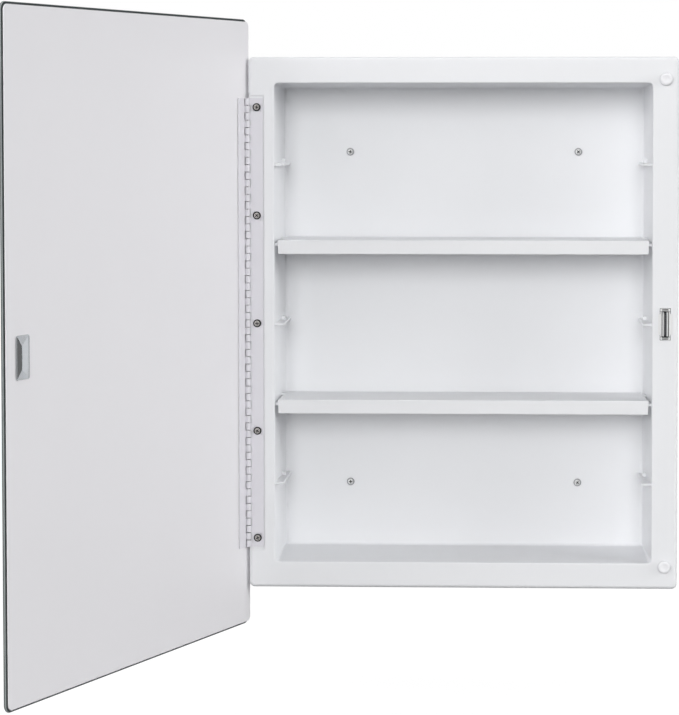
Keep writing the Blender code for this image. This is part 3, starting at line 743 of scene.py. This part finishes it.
def finger_end(bm, outline, bore, z):
    """A finger's flat end, with the bore through it: two loops bridged by their angle."""
    outer = [bm.verts.new((x, y, z)) for x, y in outline]
    inner = [bm.verts.new((x, y, z)) for x, y in bore]
    edges = []
    for ring in (outer, inner):
        edges += [bm.edges.new((ring[i], ring[(i + 1) % len(ring)])) for i in range(len(ring))]
    bmesh.ops.triangle_fill(bm, use_beauty=True, edges=edges)


def leaf_steps(first):
    """(height, next height, whether a finger stands there) for a leaf with every second finger."""
    steps = []
    height = -HINGE_HALF + KNUCKLE_GAP / 2
    for number in range(first, KNUCKLES, 2):
        start = -HINGE_HALF + number * KNUCKLE_PITCH + KNUCKLE_GAP / 2
        if start > height:
            steps.append((height, start, False))
        height = start + KNUCKLE_PITCH - KNUCKLE_GAP
        steps.append((start, height, True))
    if height < HINGE_HALF - KNUCKLE_GAP:
        steps.append((height, HINGE_HALF - KNUCKLE_GAP / 2, False))
    return steps


# %% One leaf: plate and fingers in a single mesh
def leaf_piece(name, first, side):
    """A leaf about the pin's axis. side says whether its plate lies at the +Y or the -Y side of the pin."""
    outline = finger_outline()
    bore = bore_outline(BORE_R)
    plate = [outline[0], (LEAF_WIDE, KNUCKLE_R), (LEAF_WIDE, KNUCKLE_R - LEAF_THICK), outline[-1]]
    steps = leaf_steps(first)
    bm = bmesh.new()
    for z0, z1, finger in steps:
        upright(bm, plate, z0, z1, closed=False)
        if finger:
            upright(bm, outline, z0, z1, closed=False)
            upright(bm, bore, z0, z1, closed=True)
            finger_end(bm, outline, bore, z0)
            finger_end(bm, outline, bore, z1)
        else:
            upright(bm, [outline[0], outline[-1]], z0, z1, closed=False)
    for z in (steps[0][0], steps[-1][1]):
        bm.faces.new([bm.verts.new((x, y, z)) for x, y in plate])
    bmesh.ops.remove_doubles(bm, verts=bm.verts, dist=0.01 * MM)
    bm.normal_update()
    # Finger ends and the leaf's cut edge between the fingers take the second finish, painted near black as
    # shade in the gaps.
    for face in bm.faces:
        middle = face.calc_center_median()
        across = abs(face.normal.z) > 0.9 and middle.x < LEAF_CUT
        face.material_index = 1 if across or abs(middle.x - LEAF_CUT) < 0.01 * MM else 0
    bmesh.ops.scale(bm, vec=(1, side, 1), verts=bm.verts)
    return new_piece(name, bm, enamel, black_oxide_and_shade)


door_place = Matrix.Translation(PIN) @ Matrix.Rotation(-OPEN_ANGLE, 4, "Z")
frame_leaf = leaf_piece("rolled_leaf_on_frame", 0, 1)
frame_leaf.data.transform(Matrix.Translation(PIN))
bm = bmesh.new()
for height in screw_heights:
    rod(bm, SHANK_ROOM, FACE - 1 * MM, FACE + 2 * MM, (HINGE_SCREW_X, height), 24)
combine(frame_leaf, bm, "DIFFERENCE")
hand_over(frame_leaf, "cabinet", "leaf_paint", "hinge_frame_leaf")
door_leaf = leaf_piece("rolled_leaf_on_door", 1, -1)
door_leaf.data.transform(door_place)
hand_over(door_leaf, "door", "leaf_paint", "hinge_door_leaf")

# %% The pin, with its two ends spun over into low domes
PIN_R = 0.95 * MM
PIN_DOME = 0.35 * MM
dome = [(PIN_R * math.cos(a), HINGE_HALF - PIN_DOME * (1 - math.sin(a))) for a in round_steps(4)[:-1]]
profile = [(0, -HINGE_HALF)]
profile += [(radius, -y) for radius, y in reversed(dome)]
profile += dome
profile.append((0, HINGE_HALF))
bm = bmesh.new()
turned(bm, profile, 20)
pin = new_piece("hinge_pin_rod", bm, bright_zinc)
pin.data.transform(Matrix.Translation(PIN) @ Matrix.Rotation(math.pi / 2, 4, "X"))
hand_over(pin, "cabinet", "bright_steel", "hinge_pin")

# %% [markdown]
# ## Screws with threads
#
# The screws are seen head on in front, and from behind their shanks stick out of the plastic. A thread is a
# radius that depends on two things at once: the height along the screw and the angle round it. So the shank
# is a grid whose radius rises where the phase of the helix passes. The cross recess is cut with a tapered
# tool, as a driver tip is tapered.

# %% The thread's radius at a height and an angle
THREAD_PITCH = 1.5 * MM
TURN_SIDES = 20
ROWS_PER_PITCH = 7


def thread_radius(crest, y, angle):
    """Root of the shank, with a sharp rib once in each pitch."""
    phase = (y / THREAD_PITCH - angle / (2 * math.pi)) % 1.0
    rib = max(0.0, 1 - abs(phase - 0.5) / 0.28)
    return crest * (0.74 + 0.26 * rib)


# %% The whole screw, with the underside of its head at y = 0 and its point at +Y
HEAD_HIGH = 1.5 * MM


def screw_mesh(name, head_r, crest, length, finishes, crown_r):
    """finishes are the recess's, painted dark as shade; the shank's and flank's, painted darker than the
    crown as shade; and the crown's, plain plate on the hinge screws and painted lighter as a highlight on the
    wall screws.
    """
    bm = bmesh.new()
    dome = [(0, -HEAD_HIGH)]
    for step in range(1, 7):
        angle = math.pi / 2 * step / 6
        dome.append((head_r * math.sin(angle), -0.25 * HEAD_HIGH - 0.75 * HEAD_HIGH * math.cos(angle)))
    dome += [(head_r, -0.12 * HEAD_HIGH), (head_r - 0.15 * MM, 0), (0, 0)]
    turned(bm, dome, 40)
    blank = new_piece(name, bm, *finishes)
    # The flank is painted darker than the crown as shade, and on the wall screws the crown is painted lighter
    # as a highlight.
    for face in blank.data.polygons:
        on_crown = face.center.y < -0.3 * HEAD_HIGH and math.hypot(face.center.x, face.center.z) < crown_r
        face.material_index = 2 if on_crown else 1
    bm = bmesh.new()
    tip = 3.2 * MM
    rows = max(8, int(length / THREAD_PITCH * ROWS_PER_PITCH))
    loops = []
    for row in range(rows + 1):
        y = -0.2 * MM + (length + 0.2 * MM) * row / rows
        narrow = min(1.0, max(0.06, (length - y) / tip))
        ring = []
        for i in range(TURN_SIDES):
            angle = 2 * math.pi * i / TURN_SIDES
            radius = thread_radius(crest, y, angle) * narrow
            ring.append(Vector((radius * math.cos(angle), y, radius * math.sin(angle))))
        loops.append(ring)
    skin(bm, loops)
    combine(blank, bm, "UNION", 1)
    bm = bmesh.new()
    cross_recess(bm, 0.52 * head_r)
    # The recess takes the first finish, painted black as shade in the hollow.
    combine(blank, bm, "DIFFERENCE")
    blank.data.shade_smooth()
    blank.data.set_sharp_from_angle(angle=math.radians(40))
    return blank


# %% The tapered cross that a driver fits
def cross_recess(bm, reach):
    half = 0.42 * MM
    steps = [(1.0, -HEAD_HIGH - 0.4 * MM), (0.95, -HEAD_HIGH), (0.45, -0.35 * HEAD_HIGH)]
    loops = []
    for shrink, y in steps:
        long, wide = reach * shrink, half * (0.4 + 0.6 * shrink)
        corners = []
        for turn in range(4):
            cos, sin = math.cos(turn * math.pi / 2), math.sin(turn * math.pi / 2)
            for x, z in ((long, -wide), (long, wide), (wide, wide)):
                corners.append(Vector((x * cos - z * sin, y, x * sin + z * cos)))
        loops.append(corners)
    skin(bm, loops)


# %% Placing each screw where the model has it, turned as a driver happens to leave it
def place_screws(names, head_r, crest, finishes, crown_r, slot):
    low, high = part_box(names[0])
    pattern = screw_mesh("screw_pattern", head_r, crest, high.y - low.y - HEAD_HIGH, finishes, crown_r)
    for number, name in enumerate(names):
        low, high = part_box(name)
        mesh = pattern.data.copy()
        mesh.transform(Matrix.Rotation(math.radians(37 * number + 12), 4, "Y"))
        made = bpy.data.objects.new(f"{name}_threaded", mesh)
        made.location = ((low.x + high.x) / 2, low.y + HEAD_HIGH, (low.z + high.z) / 2)
        bpy.context.scene.collection.objects.link(made)
        hand_over(made, "cabinet", slot, name)
    bpy.data.objects.remove(pattern)


# Hinge screws: recess and flank painted black as shade, crown in dark nickel. Wall screws: recess painted
# black as shade, flank and shank painted darker as shade, crown painted lighter as a highlight.
place_screws(hinge_screws, 3.7 * MM, 1.6 * MM, (black_oxide_and_shade, black_oxide_and_shade, dark_nickel), 2.4 * MM, "dark_zinc")
place_screws(wall_screws, 3.65 * MM, 2.0 * MM, (black_oxide_and_shade, dull_zinc_and_shade, highlight_and_pole_zinc), 2.8 * MM, "bright_steel")

# %% [markdown]
# ## The magnetic catch
#
# The catch is a plastic housing pushed through a slot in the flange. Inside it a ferrite magnet floats
# between two steel pole plates, whose edges touch the strike. The magnet and the plates are plain blocks on
# the real catch too, so those nodes stay, with their edges rounded by a Bevel. The housing is made again,
# with a pocket, corner posts beside its mouth, grooves at the posts, two small bars that hold the
# magnet in, and a skirt behind the flange. The pocket, the grooves and the skirt are painted near black as
# shade.

# %% The housing
EAR_X = 6.6 * MM  # the ears that the housing rests on
EAR_Z = 9.6 * MM
ROOM_X = 3.4 * MM  # half the width beside the pole plates
POST_Z = 11.9 * MM  # where the corner posts begin
MOUTH_X = 2.9 * MM  # half the width between the posts
SKIRT = 1.0 * MM  # how far the skirt behind the flange reaches past the housing's neck
POCKET_DEEP = 6.9 * MM
GROOVE_DEEP = 1.6 * MM  # the grooves beside the corner posts
GROOVE_WIDE = 0.5 * MM
CLIP_THICK = 1.2 * MM  # the bars that hold the magnet in
CLIP_HIGH = 0.75 * MM


def block_in_catch(bm, half_x, y0, y1, half_z, edge):
    """A soft block about the catch's middle."""
    soft_block(bm, (CATCH_X - half_x, y0, -half_z), (CATCH_X + half_x, y1, half_z), edge)


def catch_piece():
    front = catch_low.y
    bm = bmesh.new()
    block_in_catch(bm, CATCH_HALF, front, catch_high.y, CATCH_Z, 0.35 * MM)
    # The second finish is the near-black painted shade that the pocket, the grooves and the skirt take below.
    made = new_piece("catch_body", bm, catch_plastic, pocket_painted_shade)
    bm = bmesh.new()
    for side in (-1, 1):
        near, far = sorted((CATCH_X + side * (CATCH_HALF - 1 * MM), CATCH_X + side * EAR_X))
        soft_block(bm, (near, front + 0.12 * MM, -EAR_Z), (far, FACE - 0.3 * MM, EAR_Z), 0.25 * MM)
    combine(made, bm, "UNION")
    bm = bmesh.new()
    block_in_catch(bm, CATCH_HALF + SKIRT, FACE + 3.5 * MM, FACE + 4.5 * MM, CATCH_Z + SKIRT, 0.2 * MM)
    combine(made, bm, "UNION", 1)
    bm = bmesh.new()
    deep = FACE + POCKET_DEEP
    block_in_catch(bm, ROOM_X, front - 2 * MM, deep, POST_Z, 0.3 * MM)
    combine(made, bm, "DIFFERENCE", 1)
    bm = bmesh.new()
    end_z = CATCH_Z - 0.5 * MM
    block_in_catch(bm, MOUTH_X, front - 2 * MM, deep, end_z, 0.3 * MM)
    combine(made, bm, "DIFFERENCE", 1)
    bm = bmesh.new()
    for side in (-1, 1):
        for end in (-1, 1):
            near, far = sorted((CATCH_X + side * (ROOM_X - 0.2 * MM), CATCH_X + side * (CATCH_HALF + 1 * MM)))
            low_z, high_z = sorted((end * POST_Z, end * (POST_Z - GROOVE_WIDE)))
            soft_block(bm, (near, front - 2 * MM, low_z), (far, front + GROOVE_DEEP, high_z), 0.1 * MM)
    combine(made, bm, "DIFFERENCE", 1)
    bm = bmesh.new()
    for low_z, sunk in ((POST_Z + 0.2 * MM, 0.8 * MM), (0.6 * MM - end_z, 2.4 * MM)):
        low = (CATCH_X - MOUTH_X - 0.3 * MM, front + sunk, low_z)
        high = (CATCH_X + MOUTH_X + 0.3 * MM, front + sunk + CLIP_THICK, low_z + CLIP_HIGH)
        soft_block(bm, low, high, 0.3 * MM)
    combine(made, bm, "UNION")
    even_normals(made)
    hand_over(made, "cabinet", "catch_plastic", "catch_housing")


catch_piece()

# %% The parts that stay as the model has them
def keep(name, finish, edge):
    """A node that keeps its shape gets its finish and softer edges."""
    node = frame["nodes"][name]
    node.data.materials.clear()
    node.data.materials.append(finish)
    soften(node, edge)
    print(name, "kept, edges rounded by", round(edge / MM, 2), "mm")


keep("catch_magnet", ferrite, 0.15 * MM)
# The pole plates use the lighter zinc as their own bright plate.
for name in ("pole_plate_left", "pole_plate_right"):
    keep(name, highlight_and_pole_zinc, 0.2 * MM)
for name in ("mirror_tape_1", "mirror_tape_2", "mirror_tape_3", "mirror_tape_4", "hinge_tape", "strike_tape"):
    keep(name, foam, 0.06 * MM)

# %% [markdown]
# ## The door stops
#
# Two low vinyl discs take the door's weight when it closes. Such discs are cut from a dimpled strip: a
# rounded shoulder, a nearly flat top, a shallow hollow in the middle and a few small dimples. The profile
# is turned, which is how a lathe, and Blender's Spin and Screw tools, make round things.

# %% A stop, turned from its profile
DIMPLES = ((-0.6, 1.5), (1.1, 1.5), (0.2, -0.3), (1.5, -0.5))  # from the disc's middle, in mm
DIMPLE_R = 0.42 * MM
DIMPLE_TIP_R = 0.2 * MM
DIMPLE_DEEP = 0.9 * MM


def stop_piece(node):
    low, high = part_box(node)
    radius = (high.x - low.x) / 2
    floor_y = FACE + SEAT_DEEP - 0.05 * MM
    tall = high.y - low.y
    waist = 0.35 * tall
    crown = tall - waist
    profile = [(0, floor_y), (radius - 0.5 * MM, floor_y), (radius - 0.4 * MM, high.y)]
    for angle in round_steps(8):
        ring = radius * (0.62 + 0.38 * math.cos(angle))
        profile.append((ring, high.y - waist - crown * math.sin(angle)))
    profile += [(0.48 * radius, low.y + 0.04 * tall), (0.30 * radius, low.y + 0.15 * tall)]
    profile.append((0, low.y + 0.17 * tall))
    bm = bmesh.new()
    turned(bm, profile, 56, middle_of(node))
    made = new_piece(f"{node}_disc", bm, stop_vinyl)
    bm = bmesh.new()
    middle_x, middle_z = middle_of(node)
    start, end = low.y - 0.5 * MM, low.y + DIMPLE_DEEP
    dimple = [(0, start), (DIMPLE_R, start), (DIMPLE_TIP_R, end), (0, end)]
    for x, z in DIMPLES:
        turned(bm, dimple, 12, (middle_x + x * MM, middle_z + z * MM))
    combine(made, bm, "DIFFERENCE")
    made.data.shade_smooth()
    made.data.set_sharp_from_angle(angle=math.radians(33))
    hand_over(made, "cabinet", "bumper", node)


for node in ("bumper_top", "bumper_bottom"):
    stop_piece(node)

# %% [markdown]
# ## The mirror door
#
# The pane is drawn closed, about the pin, and then turned open with one matrix, so that its numbers stay
# the ones a glazier would use: so far past the pin, so thick, so much off each arris. The open node cannot
# give those numbers, as its box is the box of a slanted sheet. Material numbers are handed to the loft band
# by band: paint on the back, arris, ground edge, arris, silver in front.

# %% The door's measures, from the pin
DOOR_LEFT = -9.0 * MM
DOOR_RIGHT = 410.0 * MM
DOOR_HALF_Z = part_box("mirror_glass")[1].z
DOOR_CORNER = 7.0 * MM
BACKING_NEAR = 2.85 * MM
BACKING_THICK = 1.0 * MM
GLASS_NEAR = 4.40 * MM
GLASS_THICK = 3.0 * MM
print("mirror", round((DOOR_RIGHT - DOOR_LEFT) / MM), "x", round(2 * DOOR_HALF_Z / MM), "mm")


# %% A sheet with the door's outline
LARGE_FACE = 0.01  # square metres; only the two faces of a sheet are larger


def door_sheet(name, insets, near, profile, finishes, bands):
    """insets are from the pane's left, right and ends. profile gives pairs from the inner face out: how far
    the outline is cut back from the edge, and how far it lies from the inner face."""
    left, right, ends = insets
    half_x = (DOOR_RIGHT - DOOR_LEFT - left - right) / 2
    half_z = DOOR_HALF_Z - ends
    centre = ((DOOR_RIGHT - right + DOOR_LEFT + left) / 2, 0)
    corner = DOOR_CORNER - min(ends, 2 * MM)
    loops = [
        rounded(half_x - cut, half_z - cut, corner - cut, -near - away, centre, 12) for cut, away in profile
    ]
    bm = bmesh.new()
    skin(bm, loops, bands)
    made = new_piece(name, bm, *finishes)
    for face in made.data.polygons:
        face.use_smooth = face.area < LARGE_FACE  # the edge is round, and the two large faces are flat
    made.data.transform(door_place)
    return made


EDGE_R = GLASS_THICK / 2
EDGE_STEPS = 12  # over the half round of the ground edge
pane_profile = []
for step in range(EDGE_STEPS + 1):
    angle = math.pi * step / EDGE_STEPS
    pane_profile.append((EDGE_R * (1 - math.sin(angle)), EDGE_R * (1 - math.cos(angle))))
pane_bands = [0] + [1] * 3 + [2] * 3 + [1] * 6 + [3]
pane_finishes = (back_paint, arris, ground_edge, silver)
pane = door_sheet("mirror_pane", (0, 0, 0), GLASS_NEAR, pane_profile, pane_finishes, pane_bands)
hand_over(pane, "door", "mirror_glass", "mirror_glass")
SHEET_EDGE = 0.3 * MM
SHEET_INSETS = (0.3 * MM, 1.2 * MM, 2.3 * MM)  # at the hinge, at the free edge and at the two ends
sheet_profile = [(SHEET_EDGE, 0), (0.3 * SHEET_EDGE, 0.3 * SHEET_EDGE), (0, SHEET_EDGE)]
sheet_profile += [(0, BACKING_THICK - SHEET_EDGE), (SHEET_EDGE, BACKING_THICK)]
sheet = door_sheet("backing_panel", SHEET_INSETS, BACKING_NEAR, sheet_profile, (backing,), None)
hand_over(sheet, "door", "door_backing", "door_backing")

# %% [markdown]
# ## The strike
#
# The strike is pressed from bright plate. Its face is hipped: a steep narrow facet towards the door's free
# edge, a wide shallow one towards the hinge, and two triangles at the ends. The ridge between them bows
# towards the hinge. Each facet mirrors another part of the room, and that is what makes it read as metal,
# so the facets are real geometry with sharp ridges and not a bump.

# %% The strike's facets
STRIKE_X = 385.6 * MM
STRIKE_HALF_X = 9.8 * MM
STRIKE_HALF_Z = 17.75 * MM
STRIKE_EDGE = 0.45 * MM  # height of the plate's edge above the door's inner face
STRIKE_RIDGE = 1.6 * MM
RIDGE_X = 3.2 * MM
RIDGE_HALF = 9.5 * MM
RIDGE_LEAD = 0.4 * MM  # the ridge's two ends lie this much nearer the free edge
RIDGE_BOW = 0.9 * MM  # and its middle bows back towards the hinge


def strike_piece():
    back = -KNUCKLE_R
    steps = [(0.25 * MM, 0), (0, 0.2 * MM), (0, STRIKE_EDGE - 0.2 * MM), (0.2 * MM, STRIKE_EDGE)]
    steps += [(1.0 * MM, STRIKE_EDGE), (1.25 * MM, STRIKE_EDGE - 0.12 * MM)]
    loops = []
    for inset, rise in steps:
        corner = max(2.0 * MM - inset, 0.5 * MM)
        half_x, half_z = STRIKE_HALF_X - inset, STRIKE_HALF_Z - inset
        loops.append(rounded(half_x, half_z, corner, back + rise, (STRIKE_X, 0), 6))
    bm = bmesh.new()
    skin(bm, loops)
    bm.faces.ensure_lookup_table()
    mouth = bm.faces[-1]
    ring = list(mouth.verts)
    bm.faces.remove(mouth)
    ridge = []
    for step in range(7):
        along = step / 3 - 1
        x = STRIKE_X + RIDGE_X + RIDGE_LEAD - RIDGE_BOW * (1 - along * along)
        ridge.append(bm.verts.new((x, back + STRIKE_RIDGE, along * RIDGE_HALF)))
    ring.sort(key=lambda vert: math.atan2(vert.co.z, vert.co.x - STRIKE_X))
    for i, vert in enumerate(ring):
        after = ring[(i + 1) % len(ring)]
        near = ridge[-1] if vert.co.z > 0 else ridge[0]
        far = ridge[-1] if after.co.z > 0 else ridge[0]
        if near is far:
            bm.faces.new((vert, after, near))
        else:
            line = ridge if near is ridge[0] else ridge[::-1]
            bm.faces.new((vert, after, *reversed(line)))
    many_sided = [face for face in bm.faces if len(face.verts) > 4 and face.calc_area() > 0]
    bmesh.ops.triangulate(bm, faces=many_sided)
    made = new_piece("strike_facets", bm, polished_zinc)
    made.data.shade_flat()
    made.data.transform(door_place)
    hand_over(made, "door", "bright_steel", "strike_plate")


strike_piece()

# %% [markdown]
# ## The studio
#
# The cabinet hangs over a wide pale floor. Three broad suns light the cabinet, one in front, one at the
# front left and one that grazes it from the right, and a weaker light comes from above and behind. The suns
# don't show in shiny things. Shiny things show what stands round them, so the world gives mirror rays a
# studio of its own: dark to the right, as with black flags, and bright overhead and to the left, over a
# floor that glows at the left.

# %% The floor's finish
FLOOR_SEEN = 0.88  # glow that the camera sees
FLOOR_GLOW = (("From Min", -3.0), ("From Max", 0.7), ("To Min", 0.9), ("To Max", 0.02))  # over x, in mirrors


def pale_floor():
    """A grey that lights nothing much, white to the camera, and in mirrors bright at the left."""
    made, tree, shader, place = blank_finish("pale_floor", 0.9)
    drift_colour(tree, shader, noise(tree, place, 0.5), (0.14, 0.14, 0.14), (0.16, 0.16, 0.16))
    rays = tree.nodes.new("ShaderNodeLightPath")
    across = tree.nodes.new("ShaderNodeSeparateXYZ")
    tree.links.new(place, across.inputs[0])
    side_glow = tree.nodes.new("ShaderNodeMapRange")
    for socket, value in FLOOR_GLOW:
        side_glow.inputs[socket].default_value = value
    tree.links.new(across.outputs["X"], side_glow.inputs["Value"])
    mirrored = tree.nodes.new("ShaderNodeMath")
    mirrored.operation = "MULTIPLY"
    tree.links.new(rays.outputs["Is Glossy Ray"], mirrored.inputs[0])
    tree.links.new(side_glow.outputs["Result"], mirrored.inputs[1])
    glow = tree.nodes.new("ShaderNodeMath")
    glow.operation = "MULTIPLY_ADD"
    glow.inputs[1].default_value = FLOOR_SEEN
    tree.links.new(rays.outputs["Is Camera Ray"], glow.inputs[0])
    tree.links.new(mirrored.outputs["Value"], glow.inputs[2])
    tree.links.new(glow.outputs["Value"], shader.inputs["Emission Strength"])
    shader.inputs["Emission Color"].default_value = (1, 1, 1, 1)
    return made


# %% The floor
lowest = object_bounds()[0].z
bm = bmesh.new()
turned(bm, [(0, 0), (40.0, 0), (40.0, 0.02), (0, 0.02)], 64)
floor_finish = pale_floor()
floor = new_piece("studio_floor", bm, floor_finish)
floor.data.transform(Matrix.Rotation(-math.pi / 2, 4, "X"))
floor.location.z = lowest - 0.06
floor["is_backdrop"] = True
print("floor at", round(floor.location.z, 3), "m")

# %% Lamps
LAMPS = {
    "front": ((80, 0, 0), 30, 1.82),
    "left": ((78, 0, -45), 40, 1.42),
    "right_grazing": ((75, 0, 75), 30, 1.72),
}


def sun(name, tilt, spread, strength):
    lamp = bpy.data.lights.new(name, "SUN")
    lamp.energy = strength
    lamp.angle = math.radians(spread)
    made = bpy.data.objects.new(name, lamp)
    made.rotation_euler = [math.radians(value) for value in tilt]
    made.visible_glossy = False
    bpy.context.scene.collection.objects.link(made)


for name, (tilt, spread, strength) in LAMPS.items():
    sun(name, tilt, spread, strength)
print("lamps:", ", ".join(LAMPS))

# %% The world: white to the camera, soft light for matt surfaces, a studio for shiny ones
AMBIENT = 0.75
world = bpy.data.worlds.new("studio")
world.use_nodes = True
bpy.context.scene.world = world
tree = world.node_tree
tree.nodes.clear()


def background(colour, strength):
    node = tree.nodes.new("ShaderNodeBackground")
    node.inputs["Color"].default_value = (*colour, 1)
    node.inputs["Strength"].default_value = strength
    return node


def choose(factor, when_off, when_on):
    node = tree.nodes.new("ShaderNodeMixShader")
    tree.links.new(factor, node.inputs["Fac"])
    tree.links.new(when_off, node.inputs[1])
    tree.links.new(when_on, node.inputs[2])
    return node.outputs[0]


rays = tree.nodes.new("ShaderNodeLightPath")
white = background((1, 1, 1), 1.0)
ambient = background((0.97, 0.985, 1.0), AMBIENT)
unlit = background((0.97, 0.985, 1.0), 0.0)
dark = background((0.55, 0.57, 0.6), 0.05)
light = background((1, 1, 1), 1.0)
direction = tree.nodes.new("ShaderNodeTexCoord")


def brighter_towards(middle, low, high):
    """0 away from a direction and 1 towards it, smoothly in between."""
    towards = tree.nodes.new("ShaderNodeVectorMath")
    towards.operation = "DOT_PRODUCT"
    towards.inputs[1].default_value = Vector(middle).normalized()
    tree.links.new(direction.outputs["Generated"], towards.inputs[0])
    ramp = tree.nodes.new("ShaderNodeMapRange")
    ramp.interpolation_type = "SMOOTHSTEP"
    ramp.inputs["From Min"].default_value = low
    ramp.inputs["From Max"].default_value = high
    tree.links.new(towards.outputs["Value"], ramp.inputs["Value"])
    return ramp.outputs["Result"]


studio = choose(brighter_towards((-0.75, 0, 0.65), -0.3, 0.6), dark.outputs[0], light.outputs[0])
behind = choose(brighter_towards((0, 0.85, 0.5), 0.0, 0.6), unlit.outputs[0], ambient.outputs[0])
matt = choose(rays.outputs["Is Glossy Ray"], behind, studio)
seen = choose(rays.outputs["Is Camera Ray"], matt, white.outputs[0])
out = tree.nodes.new("ShaderNodeOutputWorld")
tree.links.new(seen, out.inputs["Surface"])
bpy.context.scene.view_settings.view_transform = "Standard"
print("ambient strength", AMBIENT)

# %% [markdown]
# ## The camera
#
# A long lens from about two and a half metres keeps the flange square and still lets the open door grow
# towards us. The camera looks almost level, from a little above the middle, and its shift slides the frame
# so that the open door at the left fits.

# %% Camera
camera = bpy.data.objects.new("camera", bpy.data.cameras.new("camera"))
camera.location = (0.0338, -2.5038, 0.1869)
camera.rotation_euler = (math.radians(90 - 2.833), 0, math.radians(1.951))
camera.data.sensor_fit = "VERTICAL"
camera.data.sensor_height = 36
camera.data.lens = 132.2
camera.data.shift_x = -0.0989
camera.data.shift_y = -0.1485
bpy.context.scene.collection.objects.link(camera)
bpy.context.scene.camera = camera
print("camera", round(camera.data.lens), "mm lens")

# %% Sizes
seen_box = [list(corner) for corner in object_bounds()]
grown = [round((new - old) / MM, 2) for old, new in zip(sum(cad_box, []), sum(seen_box, []))]
print("change of the box's six sides, mm:", grown)
